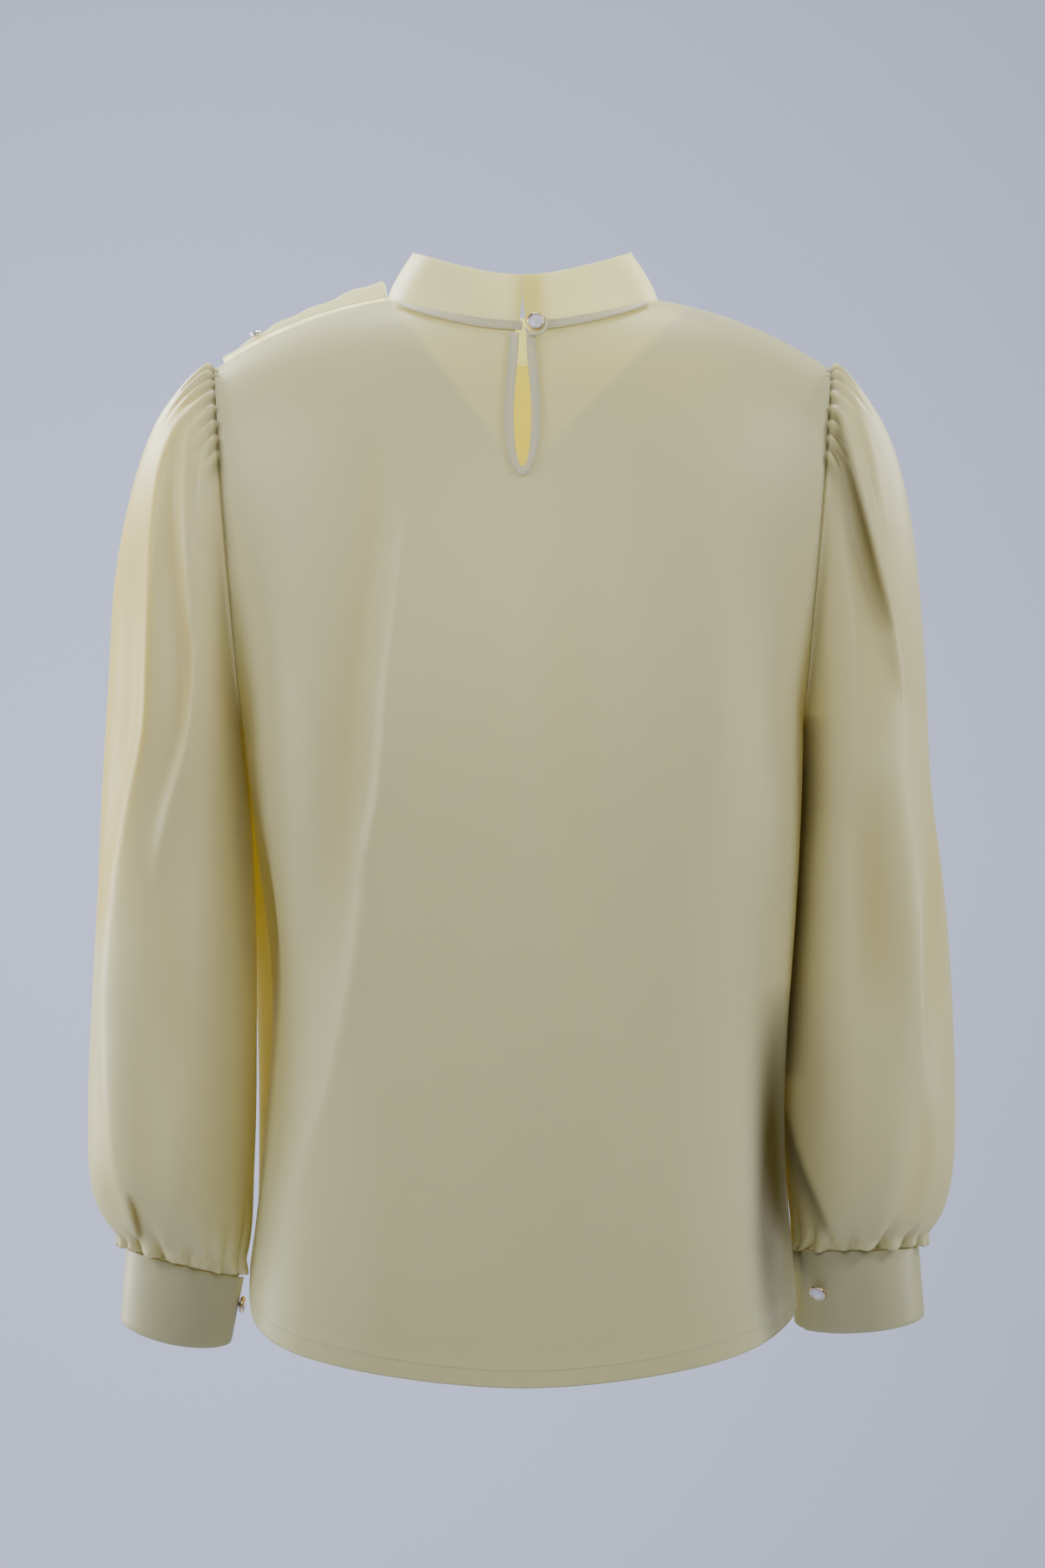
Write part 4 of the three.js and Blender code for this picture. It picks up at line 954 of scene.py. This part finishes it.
def tube(name, line, radius, sides=12):
    """A round cord along a line of points, closed at both ends."""
    ahead = np.gradient(line, axis=0)
    ahead /= np.linalg.norm(ahead, axis=1, keepdims=True)
    side = np.cross(ahead, [0.0, 1.0, 0.0])
    side /= np.linalg.norm(side, axis=1, keepdims=True)
    up = np.cross(side, ahead)
    angle = 2 * np.pi * np.arange(sides) / sides
    radii = np.full(len(line), float(radius))
    radii[0] = radii[-1] = radius * 0.55
    grid = line[:, None] + radii[:, None, None] * (
        side[:, None] * np.cos(angle)[:, None] + up[:, None] * np.sin(angle)[:, None]
    )
    uv = np.stack(np.meshgrid(angle * radius, np.arange(len(line)) * 0.5), -1)
    return mesh_of(name, grid, faces_of(len(line), sides, ring=True), uv)


along = np.linspace(0, 5, 40)
loop_x, loop_z, loop_off = (curve_through(range(6), LOOP[key], along) for key in ("x", "z", "off"))
loop = tube("button_loop_cord", on_back(loop_x, loop_z, loop_off + LOOP_RADIUS), LOOP_RADIUS)
loop.data.materials.append(binding_satin)
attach(loop, "root")
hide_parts("button_loop")

# The sleeves: full satin sleeves gathered into the armhole over the shoulder, falling in long folds from
# the gathers to the elbow, and drawn in with pinched pleats to the cuff. Each ring of the table has its
# outer and inner point and its half depth front to back.
LEFT_SLEEVE = {
    "side": -1,
    "out_x": [194, 203, 216, 229, 240, 250, 258, 261.5, 265.5, 268.5, 272.5, 275, 274, 268, 259, 251],
    "out_z": [-43, -46, -56, -72, -97, -133, -180, -240, -305, -375, -445, -510, -552, -574, -588, -597.5],
    "in_x": [
        176, 176.2, 175.9, 175.1, 174.3, 173.3, 172, 170.5, 169, 168, 168, 168.5, 170, 170.5, 173.5, 179,
    ],
    "in_z": [-272, -275, -279, -285, -292, -301, -315, -340, -376, -416, -462, -514, -555, -582, -602, -616],
    "deep": [58, 60, 63, 65.5, 68, 70, 71, 70, 69, 69, 69, 68, 64, 57, 47, 35],
    "middle": [2, 2, 2, 2, 2, 2, 3, 4, 5, 6, 8, 10, 11, 12, 12, 12],
}
RIGHT_SLEEVE = {
    "side": 1,
    "out_x": [194, 202, 213, 225, 236, 244.5, 250.5, 255, 258, 267, 272, 274, 272.5, 267, 259, 251],
    "out_z": [-43, -46, -56, -72, -97, -133, -180, -240, -305, -375, -445, -510, -548, -573, -587, -596.5],
    "in_x": [
        176, 176.2, 176, 175.6, 175.1, 174.5, 173.4, 171.6, 169, 166.5, 163.5, 163.5, 166, 168.5, 169.5, 170,
    ],
    "in_z": [
        -272, -275, -279, -285, -292, -301, -315, -340, -376, -416, -462, -514, -550, -576, -590, -598.5,
    ],
    "deep": [58, 60, 63, 65.5, 68, 70, 71, 70, 69, 69, 69, 68, 64, 57, 47, 36],
    "middle": [2, 2, 2, 2, 2, 2, 3, 4, 5, 6, 8, 10, 11, 12, 12, 12],
}
# The folds of each sleeve's back half, on paths of (x, z), and those of its front half. Their yellow and
# dark are painted light and painted shade, as on the back.
LEFT_SLEEVE_FOLDS = {
    "back": [
        dict(name="outer crest", width=20, rise=11, steep=-1, ends=0.5,
             path=[(-191, -60), (-206, -68), (-217, -80), (-227, -104), (-232, -142), (-234, -197),
                   (-235, -235), (-237, -272), (-247, -316), (-255, -359), (-261, -413), (-264, -450)]),
        dict(name="valley outside the crest", width=22, rise=-1.5, yellow=1.5, steep=1, ends=0.5,
             path=[(-196, -56), (-211, -66), (-222, -80), (-232, -104), (-237, -142), (-239, -197),
                   (-240, -235), (-242, -272), (-252, -316), (-260, -359), (-266, -413)]),
        dict(name="outer side in the light", width=24, rise=0, yellow=0.8, ends=0.5,
             path=[(-222, -58), (-240, -96), (-252, -150), (-258, -230), (-264, -320), (-270, -400)]),
        dict(name="second crest", width=17, rise=9, steep=-1, ends=0.5,
             path=[(-190, -72), (-201, -77), (-208, -88), (-210, -120), (-209, -150), (-206, -197),
                   (-203, -220), (-204, -251), (-208, -280), (-216, -308), (-224, -338), (-228, -360)]),
        dict(name="valley outside the second crest", width=9, rise=-1, yellow=0.6, steep=1, ends=0.5,
             path=[(-203, -76), (-212, -89), (-214, -120), (-213, -150), (-210, -197), (-207, -220),
                   (-208, -251), (-213, -285), (-222, -318)]),
        dict(name="short pleat", width=9, rise=4, steep=-1, ends=0.5,
             path=[(-189, -86), (-195, -92), (-199, -106), (-200, -130), (-198, -160)]),
        dict(name="trough beside the body", width=7, rise=-6, dark=0.3,
             path=[(-188, -120), (-185, -180), (-180, -240), (-177, -300), (-174, -360), (-172, -440)]),
        dict(name="inner fold", width=10, rise=3,
             path=[(-192, -280), (-196, -340), (-198, -400), (-196, -470)]),
        dict(name="elbow trough", width=13, rise=-3, yellow=0.15,
             path=[(-226, -330), (-222, -390), (-214, -450), (-208, -510)]),
        dict(name="low outer crest", width=17, rise=7, steep=-1, ends=0.6,
             path=[(-263, -340), (-264, -400), (-263, -460), (-260, -510), (-255, -548), (-247, -576),
                   (-242, -598)]),
        dict(name="low outer valley", width=7, rise=-2, yellow=0.3,
             path=[(-268, -440), (-267, -490), (-262, -535), (-252, -575), (-246, -592)]),
        dict(name="cuff pinch valley", width=6, rise=-6, yellow=0.7, dark=0.35, steep=-1, ends=0.5,
             path=[(-246, -562), (-243, -574), (-241, -584), (-240, -602)]),
        dict(name="low trough", width=12, rise=-3,
             path=[(-240, -420), (-236, -480), (-230, -540), (-226, -590)]),
        dict(name="low inner crest", width=14, rise=3, path=[(-206, -470), (-212, -530), (-216, -590)]),
    ],
    "front": [
        dict(name="front crest", width=18, rise=9, steep=1,
             path=[(-214, -80), (-226, -150), (-228, -240), (-236, -330), (-240, -420)]),
        dict(name="front valley", width=10, rise=-5, yellow=0.4,
             path=[(-198, -100), (-204, -180), (-206, -270), (-214, -360)]),
        dict(name="front low crest", width=12, rise=4,
             path=[(-196, -330), (-204, -420), (-212, -520), (-216, -590)]),
        dict(name="front low trough", width=12, rise=-4, path=[(-236, -400), (-238, -480), (-232, -560)]),
    ],
}
RIGHT_SLEEVE_FOLDS = {
    "back": [
        dict(name="overlapping crest", width=24, rise=13, steep=-1, ends=0.5,
             path=[(192, -52), (199, -77), (207, -110), (215, -142), (223, -175), (229, -197), (235, -222),
                   (240, -250)]),
        dict(name="dark valley", width=12, rise=-3, yellow=0.4, dark=0.88, steep=1, ends=0.6,
             path=[(189, -56), (196, -77), (204, -110), (212, -142), (220, -175), (226, -197),
                   (230, -212)]),
        dict(name="soft shade under the fold", width=20, rise=-2, yellow=0.25, dark=0.1,
             path=[(206, -140), (214, -190), (221, -235), (224, -290)]),
        dict(name="outer crest", width=11, rise=5, steep=-1, ends=0.5,
             path=[(196, -50), (206, -57), (213, -76), (219, -100), (223, -125), (228, -150)]),
        dict(name="inner crest", width=12, rise=4,
             path=[(190, -90), (196, -130), (202, -180), (206, -240), (204, -300)]),
        dict(name="dimple", width=8, rise=-5, dark=0.12, path=[(178, -280), (179, -310), (177, -345)]),
        dict(name="trough beside the body", width=6, rise=-5, dark=0.3,
             path=[(186, -110), (183, -180), (179, -240), (175, -300)]),
        dict(name="valley beside the body", width=10, rise=-7, yellow=0.3, dark=1.0, ends=0.4,
             path=[(177, -262), (174, -300), (171, -350), (168, -400), (165, -450), (163, -490)]),
        dict(name="elbow highlight crest", width=12, rise=5,
             path=[(238, -280), (240, -320), (241, -380), (240, -430), (236, -480)]),
        dict(name="outer low crest", width=13, rise=6, steep=1,
             path=[(248, -270), (250, -310), (251, -350), (250, -400), (250, -450), (252, -500)]),
        dict(name="valley outside the low crest", width=6, rise=-2, yellow=0.5,
             path=[(257, -290), (258, -330), (259, -380), (259, -430), (261, -480)]),
        dict(name="elbow trough", width=15, rise=-5, yellow=0.45, dark=0.1,
             path=[(216, -290), (218, -340), (222, -400), (224, -460)]),
        dict(name="inner swell", width=14, rise=4,
             path=[(196, -330), (200, -400), (202, -470), (204, -540)]),
        dict(name="diagonal edge", width=20, rise=9, steep=-1, ends=0.5,
             path=[(160, -492), (168, -515), (176, -543), (188, -572), (196, -590)]),
        dict(name="below the diagonal", width=9, rise=-2, dark=0.5, steep=1, ends=0.5,
             path=[(157, -492), (165, -515), (173, -543), (185, -572), (193, -592)]),
        dict(name="low outer trough", width=9, rise=-5, yellow=0.25,
             path=[(250, -500), (250, -540), (241, -575), (234, -594)]),
    ],
    "front": [
        dict(name="front crest", width=18, rise=9, steep=-1,
             path=[(212, -80), (222, -150), (226, -240), (234, -330), (238, -420)]),
        dict(name="front valley", width=10, rise=-5, yellow=0.4,
             path=[(197, -100), (203, -180), (206, -270), (212, -360)]),
        dict(name="front low crest", width=12, rise=4,
             path=[(194, -330), (202, -420), (210, -520), (214, -590)]),
        dict(name="front low trough", width=12, rise=-4, path=[(234, -400), (236, -480), (230, -560)]),
    ],
}
# The gathers at the head, in degrees round the armhole from its top (-90 is the back), with how many
# rings each runs before it fades, and the pinches at the cuff in the same way. wide is in degrees too, and
# both grow with each ring. The table above has LAST_RING rings after its first.
LAST_RING = 15
HEAD_GATHERS = {
    "count": 18, "spread": 62.0, "off_place": 2.2, "wide": 1.5, "wider_each_ring": 0.6,
    "fans_each_ring": 0.05, "deep": 5.4, "fades_at": 1.4, "dark": 0.42,
}
CUFF_PINCHES = {"count": 15, "off_place": 10, "deep": 4.6, "starts_at": 12.8, "wide": 5.5}
# The cloth puffs out and hangs over the cuff between its pinches.
CUFF_PUFF = {"from_ring": 14.2, "out": 4.2, "down": 5.0}
ARMHOLE_DIP = 1.3
SEAM_ALLOWANCE = 2.4
SEAM_SHADE = 0.35


def uneven(k, amount):
    """A fixed, uneven series from -amount to amount."""
    return amount * (math.sin(12.9898 * k + 4.1) * 0.6 + math.sin(4.898 * k + 1.7) * 0.4)


def head_gathers(ring, degrees):
    """How far the gathers at the head stand out, and how near each point is to one of their crests."""
    rise = np.zeros(np.broadcast_shapes(ring.shape, degrees.shape))
    crests = np.zeros(rise.shape)
    spec = HEAD_GATHERS
    for k in range(spec["count"]):
        at = -spec["spread"] + 2 * spec["spread"] * (k + 0.5) / spec["count"] + uneven(k, spec["off_place"])
        fade = spec["fades_at"] * (1 + uneven(k + 31, 0.9))
        deep = spec["deep"] * (1 + uneven(k + 57, 0.6))
        here = smooth_step(ring, -0.2, 0.4) * (1 - smooth_step(ring, 0.4, fade + 1.1))
        away = degrees - at * (1 + spec["fans_each_ring"] * ring)
        crest = np.exp(-((away / (spec["wide"] + spec["wider_each_ring"] * ring)) ** 2))
        rise += deep * here * crest
        crests += crest
    return rise, crests


def with_cuff_pinches(rise, ring, degrees):
    """The rise with the pleats pinched in at the cuff."""
    spec = CUFF_PINCHES
    for k in range(spec["count"]):
        at = -180 + 360 * (k + 0.5) / spec["count"] + uneven(k + 9, spec["off_place"])
        start = spec["starts_at"] + uneven(k + 3, 1.1)
        deep = spec["deep"] * (1 + uneven(k + 77, 0.8))
        here = smooth_step(ring, start, 14.5) * (1 - smooth_step(ring, 14.75, LAST_RING) * 0.75)
        away = (degrees - at + 180) % 360 - 180
        rise = rise - deep * here * np.exp(-((away / (spec["wide"] - 2 * here)) ** 2))
    return rise


def sleeve_grid(sleeve, folds, around, along):
    """The sleeve's points, ring by ring, and how much painted light and painted shade go into its colour at
    each.
    """
    ring = np.linspace(0, LAST_RING, along)[:, None]
    # The head and the cuff have more rings than the plain stretch between them.
    crowded = LAST_RING * (0.5 - 0.5 * np.cos(np.pi * ring / LAST_RING))
    ring = crowded * 0.55 + ring * 0.45
    degrees = (360 * np.arange(around) / around)[None]
    degrees = np.where(degrees > 180, degrees - 360, degrees)
    angle = np.radians(degrees)
    columns = ("out_x", "out_z", "in_x", "in_z", "deep", "middle")
    read = {key: curve_through(np.arange(LAST_RING + 1), sleeve[key], ring) for key in columns}
    wide_x, wide_z = (read["out_x"] - read["in_x"]) / 2, (read["out_z"] - read["in_z"]) / 2
    rise, gather_crests = head_gathers(ring, degrees)
    rise = with_cuff_pinches(rise, ring, degrees) - ARMHOLE_DIP * (1 - smooth_step(ring, 0, 0.5))
    scallop = 0.5 + 0.32 * np.sin(angle * 17 + 1.1) + 0.18 * np.sin(angle * 11 + 0.4)
    puff = np.sin(np.pi * smooth_step(ring, CUFF_PUFF["from_ring"], LAST_RING)) * scallop
    rise = rise + CUFF_PUFF["out"] * puff
    outwards = np.cos(angle) * (1 + rise / np.hypot(wide_x, wide_z))
    x = (read["out_x"] + read["in_x"]) / 2 + wide_x * outwards
    y = read["middle"] + read["deep"] * np.sin(angle) * (1 + rise / read["deep"])
    z = (read["out_z"] + read["in_z"]) / 2 + wide_z * outwards - CUFF_PUFF["down"] * puff
    grid = relaxed(np.stack([sleeve["side"] * x, y, z], -1), 3, ring=True)
    held = smooth_step(ring, 0.1, 1.1) * (1 - smooth_step(ring, 13.4, 14.9))
    # Between the gathers the cloth lies in shade, most of all at the seam.
    spread = HEAD_GATHERS["spread"]
    in_head = (1 - smooth_step(ring, 0.3, 1.5)) * (1 - smooth_step(np.abs(degrees), spread, spread + 8))
    dark = HEAD_GATHERS["dark"] * in_head * np.clip(1 - 1.3 * gather_crests, 0, 1)
    dark += SEAM_SHADE * (1 - smooth_step(ring, 0.1, 0.4))
    yellow = np.zeros(grid.shape[:2])
    for half, way in (("back", -1), ("front", 1)):
        facing = np.clip(way * np.sin(angle), 0, 1) ** 0.6
        seen = smooth_step(facing, 0, 0.55) * held
        at = grid[..., 0], grid[..., 2], folds[half]
        yellow += seen * fold_depth(*at, "yellow")
        dark += seen * fold_depth(*at, "dark")
        grid[..., 1] += way * facing * held * fold_depth(*at, "rise")
    # The seam allowance lies under the edge of the back and the front.
    grid[0, :, 0] -= sleeve["side"] * SEAM_ALLOWANCE
    return grid, yellow, dark


# The sleeves' colour is painted lighter than the back's, as painted light.
sleeve_satin = satin(
    "sleeve satin", (0.79, 0.765, 0.47, 1), see_through=0.4, roughness=0.4, sheen=0.12,
    painted_valley_light=(0.78, 0.645, 0.18, 1),
)
for name, spec, folds in (
    ("left", LEFT_SLEEVE, LEFT_SLEEVE_FOLDS),
    ("right", RIGHT_SLEEVE, RIGHT_SLEEVE_FOLDS),
):
    grid, yellow, dark = sleeve_grid(spec, folds, around=370, along=122)
    sleeve = mesh_of(f"{name}_sleeve", grid, faces_of(*grid.shape[:2], ring=True), round_uv(grid, 60))
    paint_valley_light_and_shade(sleeve, yellow, dark)
    face_towards(sleeve, (spec["side"] * 0.22, 0.005, -0.33))
    thicken(sleeve, FINE_CLOTH)
    sleeve.data.materials.append(sleeve_satin)
    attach(sleeve, "root")
    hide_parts(f"sleeve_{name}")

# The cuffs: doubled bands of the same cloth, pressed smooth, that lap over at the back and close with a
# button. A pressed cuff is never quite flat: it bows a little between its edges.
CUFF_THICK = 1.6
CUFF_EDGE_ROUND = 0.5
CUFF_LAP = 20.0
CUFF_LAP_RISE = 2.85
CUFF_BACK_DROP = 7.5
CUFF_BOW = {"deep": 0.8, "middle": 0.5, "uneven": 0.4, "waves": 3}
CUFF_STEPS = 220
CUFF_ROWS = 15
CUFFS = {
    "left": {
        "side": -1, "lap_at": -168.0, "button": {"angle": -174.0, "down": 0.42, "hangs": 0.1},
        "top": {"out_x": 251, "out_z": -598.5, "in_x": 179, "in_z": -617, "deep": 35, "middle": 12},
        "bottom": {"out_x": 254.5, "out_z": -643, "in_x": 187, "in_z": -657, "deep": 33, "middle": 12},
    },
    "right": {
        "side": 1, "lap_at": -134.0, "button": {"angle": -125.0, "down": 0.48, "hangs": 0.75},
        "top": {"out_x": 251, "out_z": -597.5, "in_x": 170, "in_z": -599.5, "deep": 36, "middle": 12},
        "bottom": {"out_x": 254.5, "out_z": -640, "in_x": 172, "in_z": -645, "deep": 34, "middle": 12},
    },
}


def cuff_point(cuff, down, degrees, off):
    """Points of a cuff's outer face, moved out by off. down runs from 0 at its top to 1."""
    part = {key: cuff["top"][key] + (cuff["bottom"][key] - cuff["top"][key]) * down for key in cuff["top"]}
    angle = np.radians(degrees)
    wide, deep = (part["out_x"] - part["in_x"]) / 2 + off, part["deep"] + off
    return np.stack(
        np.broadcast_arrays(
            cuff["side"] * ((part["out_x"] + part["in_x"]) / 2 + wide * np.cos(angle)),
            part["middle"] + deep * np.sin(angle),
            (part["out_z"] + part["in_z"]) / 2 + (part["out_z"] - part["in_z"]) / 2 * np.cos(angle)
            + CUFF_BACK_DROP * down * np.sin(angle),
        ),
        -1,
    )


# The cuffs' colour is painted darker than the back's, as painted shade.
cuff_satin = satin("cuff satin", (0.46, 0.435, 0.26, 1), see_through=0.12, roughness=0.42, sheen=0.15)
for name, cuff in CUFFS.items():
    turned_by = (360 + CUFF_LAP) * np.arange(CUFF_STEPS + 1) / CUFF_STEPS
    raised = CUFF_LAP_RISE * (1 - smooth_step(turned_by, CUFF_LAP * 0.9, CUFF_LAP * 3))
    degrees = cuff["lap_at"] - CUFF_LAP / 2 + turned_by
    down = np.linspace(0, 1, CUFF_ROWS)
    grid = np.array([cuff_point(cuff, at, degrees, raised) for at in down])
    waving = CUFF_BOW["middle"] + CUFF_BOW["uneven"] * np.sin(np.radians(degrees) * CUFF_BOW["waves"])
    bow = np.sin(np.pi * down)[:, None] * waving[None]
    grid[..., 1] += CUFF_BOW["deep"] * bow * np.sign(grid[..., 1] - cuff["top"]["middle"])
    band = mesh_of(f"{name}_cuff", grid, faces_of(*grid.shape[:2]), round_uv(grid, 7))
    face_towards(band, (cuff["side"] * 0.215, 0.012, -0.62))
    thicken(band, CUFF_THICK)
    round_edges(band, CUFF_EDGE_ROUND)
    band.data.materials.append(cuff_satin)
    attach(band, "root")
    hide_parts(f"cuff_{name}")
    at = cuff["button"]
    on, above = (cuff_point(cuff, at["down"], at["angle"], CUFF_LAP_RISE + off) for off in (0, 10))
    facing = (above - on) / np.linalg.norm(above - on)
    # A button hangs a little on its thread, so that its face looks down.
    facing = facing + np.array([0, 0, -at["hangs"]])
    facing = facing / np.linalg.norm(facing)
    button(f"cuff_button_{name}", on + facing * (0.35 + BUTTON["thick"] * BUTTON["shank"]), facing)

# The shoulder drape: a pleated cloth over the front of the left shoulder. It stands above the shoulder at
# the neck end, falls in pleats over the front, and a small stone button holds it at the armhole end.
DRAPE = {
    "neck_u": -NECK_U * 0.995, "tip_u": -0.93, "rear_v": 0.012, "low_v": 0.62, "tip_low_v": 0.4, "off": 3.8,
    "pleats": 5, "pleat_rise": 1.8, "flat_long": 130, "flat_high": 150,
    "p": [0, 0.12, 0.3, 0.5, 0.7, 1], "crest": [15.5, 13, 8.5, 6.5, 3.5, 0.5],
}


def drape_point(p, q):
    """Points of the drape. p runs from the neck to the armhole, and q from its rear edge to its low one."""
    u = DRAPE["neck_u"] + (DRAPE["tip_u"] - DRAPE["neck_u"]) * p
    neck = neck_edge_v(FRONT, u)
    low = DRAPE["low_v"] + (DRAPE["tip_low_v"] - DRAPE["low_v"]) * p
    v = neck + DRAPE["rear_v"] + (low - neck - DRAPE["rear_v"]) * q**1.3
    stand = smooth_step(q, 0, 0.12) * (1 - smooth_step(q, 0.18, 0.8))
    wave = np.cos(2 * np.pi * DRAPE["pleats"] * (p + 0.35 * q))
    pleat = DRAPE["pleat_rise"] * smooth_step(q, 0, 0.3) * np.sign(wave) * np.abs(wave) ** 0.75
    here, out = panel_frame(FRONT, u, v)
    off = DRAPE["off"] + curve_through(DRAPE["p"], DRAPE["crest"], p) * stand + pleat
    return here + out * off[..., None]


p, q = np.meshgrid(np.linspace(0, 1, 150), np.linspace(0, 1, 110))
drape_grid = drape_point(p, q)
drape_uv = np.stack([p * DRAPE["flat_long"], q * DRAPE["flat_high"]], -1)
drape = mesh_of("shoulder_drape_cloth", drape_grid, faces_of(*drape_grid.shape[:2]), drape_uv)
face_towards(drape, (-0.12, 0.02, -0.15))
thicken(drape, FINE_CLOTH)
# The drape's colour is painted almost white, paler than the back's, for the light that shines through it.
drape_satin = satin(
    "drape satin", (0.97, 0.96, 0.80, 1), glow=(1.0, 0.99, 0.78, 1), see_through=0.7, sheen=0.3
)
drape.data.materials.append(drape_satin)
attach(drape, "root")
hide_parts("shoulder_drape")

# The stone button on the drape: a cut stone in a small silver setting.
STONE = {"radius": 3.4, "thick": 2.6, "p": 0.7, "q": 0.07, "facing": (-0.35, -0.45, 0.82)}
SILVER = finish("silver setting", {"Base Color": (0.8, 0.79, 0.76, 1), "Metallic": 1.0, "Roughness": 0.18})
CUT_STONE = finish("cut stone", {"Base Color": (0.82, 0.85, 0.9, 1), "Metallic": 0.6, "Roughness": 0.06})
stone_place = drape_point(np.array(STONE["p"]), np.array(STONE["q"]))
stone_place = stone_place + np.array(STONE["facing"]) * (0.35 + BUTTON["shank"] * STONE["thick"])
r, h = STONE["radius"], STONE["thick"]
setting = turned(
    "shoulder_stone_setting",
    [(r * 0.3, -h * BUTTON["shank"]), (r * 0.3, 0.05), (r * 0.8, h * 0.1), (r, h * 0.4),
     (r * 0.98, h * 0.8), (r * 0.84, h), (r * 0.78, h * 0.66), (r * 0.2, h * 0.62)],
    stone_place, STONE["facing"], sides=24,
)
setting.data.materials.append(SILVER)
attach(setting, "root")
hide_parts("shoulder_stone_rim")
gem = turned(
    "shoulder_stone",
    [(r * 0.7, h * 0.66), (r * 0.76, h * 0.8), (r * 0.62, h * 1.08), (r * 0.3, h * 1.22)],
    stone_place, STONE["facing"], sides=8,
)
gem.data.polygons.foreach_set("use_smooth", [False] * len(gem.data.polygons))
gem.data.materials.append(CUT_STONE)
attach(gem, "root")
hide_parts("shoulder_stone_face")

# The studio: a plain pale sweep of floor and backdrop under large soft lights.
SWEEP_COLOUR = (0.58, 0.62, 0.79, 1)
SWEEP = {
    "from_y": -12.0, "to_y": 9.0, "half_wide": 12.0, "floor_z": -1.9, "top_z": 5.0, "curve": 1.5, "steps": 12,
}


def sweep():
    """The floor, the curve behind it and the backdrop, as one sheet."""
    s = SWEEP
    profile = [(s["from_y"], s["floor_z"]), (s["to_y"] - s["curve"], s["floor_z"])]
    for k in range(1, s["steps"] + 1):
        turn = math.pi / 2 * k / s["steps"]
        y = s["to_y"] - s["curve"] * (1 - math.sin(turn))
        profile.append((y, s["floor_z"] + s["curve"] * (1 - math.cos(turn))))
    profile.append((s["to_y"], s["top_z"]))
    points = [(x, y, z) for y, z in profile for x in (-s["half_wide"], s["half_wide"])]
    mesh = bpy.data.meshes.new("studio_sweep")
    mesh.from_pydata(points, [], [(2 * i, 2 * i + 1, 2 * i + 3, 2 * i + 2) for i in range(len(profile) - 1)])
    mesh.polygons.foreach_set("use_smooth", [True] * len(mesh.polygons))
    made = bpy.data.objects.new("studio_sweep", mesh)
    bpy.context.collection.objects.link(made)
    mesh.materials.append(finish("pale paper", {"Base Color": SWEEP_COLOUR, "Roughness": 0.9}))


sweep()
WHITE = (1, 1, 0.98)
PALE_CREAM = (1, 1, 0.95)
CREAM = (1, 1, 0.93)
DAYLIGHT = (0.97, 0.99, 1)
PALE_BLUE = (0.94, 0.96, 1)
LIGHTS = [
    dict(name="left softbox", place=(-1.5, -0.75, 0.6), size=0.7, power=18, colour=WHITE),
    dict(name="right softbox", place=(1.5, -0.8, 0.7), size=0.7, power=18.5, colour=WHITE),
    dict(name="soft light from behind", place=(0, -1.0, 0.05), size=0.6, power=4.4, colour=WHITE),
    dict(name="light from the front left", place=(-1.3, 1.3, 0.7), size=0.9, power=72, colour=CREAM),
    dict(name="light from the front right", place=(1.3, 1.3, 0.5), size=0.9, power=22, colour=CREAM),
    dict(name="low light from the left", place=(-1.9, 1.2, -0.4), size=0.6, power=20, colour=PALE_CREAM),
    dict(name="low light from the right", place=(2.1, 0.2, -0.35), size=0.5, power=15, colour=PALE_CREAM),
    dict(name="overhead", place=(0, 0.75, 1.35), size=0.8, power=34, colour=WHITE),
    dict(name="side light from the left", place=(-1.7, 0.3, -0.1), size=1.1, power=21, colour=DAYLIGHT),
    dict(name="backdrop light", place=(-0.7, 4.6, -0.3), size=1.2, power=205, colour=PALE_BLUE, aim=(-0.4,
         9.0, -0.3)),
]
AIM = Vector((0, 0, -0.3))
for spec in LIGHTS:
    light = bpy.data.lights.new(spec["name"], "AREA")
    light.shape = "DISK"
    light.size = spec["size"]
    light.energy = spec["power"]
    light.color = spec["colour"]
    lamp = bpy.data.objects.new(spec["name"], light)
    lamp.location = spec["place"]
    lamp.visible_camera = False
    aim = Vector(spec.get("aim", AIM))
    lamp.rotation_euler = (aim - Vector(spec["place"])).to_track_quat("-Z", "Y").to_euler()
    bpy.context.collection.objects.link(lamp)
world = bpy.context.scene.world or bpy.data.worlds.new("studio")
bpy.context.scene.world = world
world.use_nodes = True
background = world.node_tree.nodes["Background"]
background.inputs["Color"].default_value = (0.8, 0.82, 0.86, 1)
background.inputs["Strength"].default_value = 0.15

# The camera: level, straight behind the blouse, at the height of its waist. The frame is 0.66 m by 0.99 m
# at the plane of the side seams.
CAMERA = {"back": 4.5, "high": -0.305, "frame_high": 0.99, "sensor": 36.0, "sees_to": 60}
lens = bpy.data.cameras.new("camera")
lens.sensor_fit = "VERTICAL"
lens.sensor_height = CAMERA["sensor"]
lens.lens = CAMERA["sensor"] * CAMERA["back"] / CAMERA["frame_high"]
lens.clip_end = CAMERA["sees_to"]
camera = bpy.data.objects.new("camera", lens)
camera.location = (0, -CAMERA["back"], CAMERA["high"])
camera.rotation_euler = (math.pi / 2, 0, 0)
bpy.context.collection.objects.link(camera)
bpy.context.scene.camera = camera
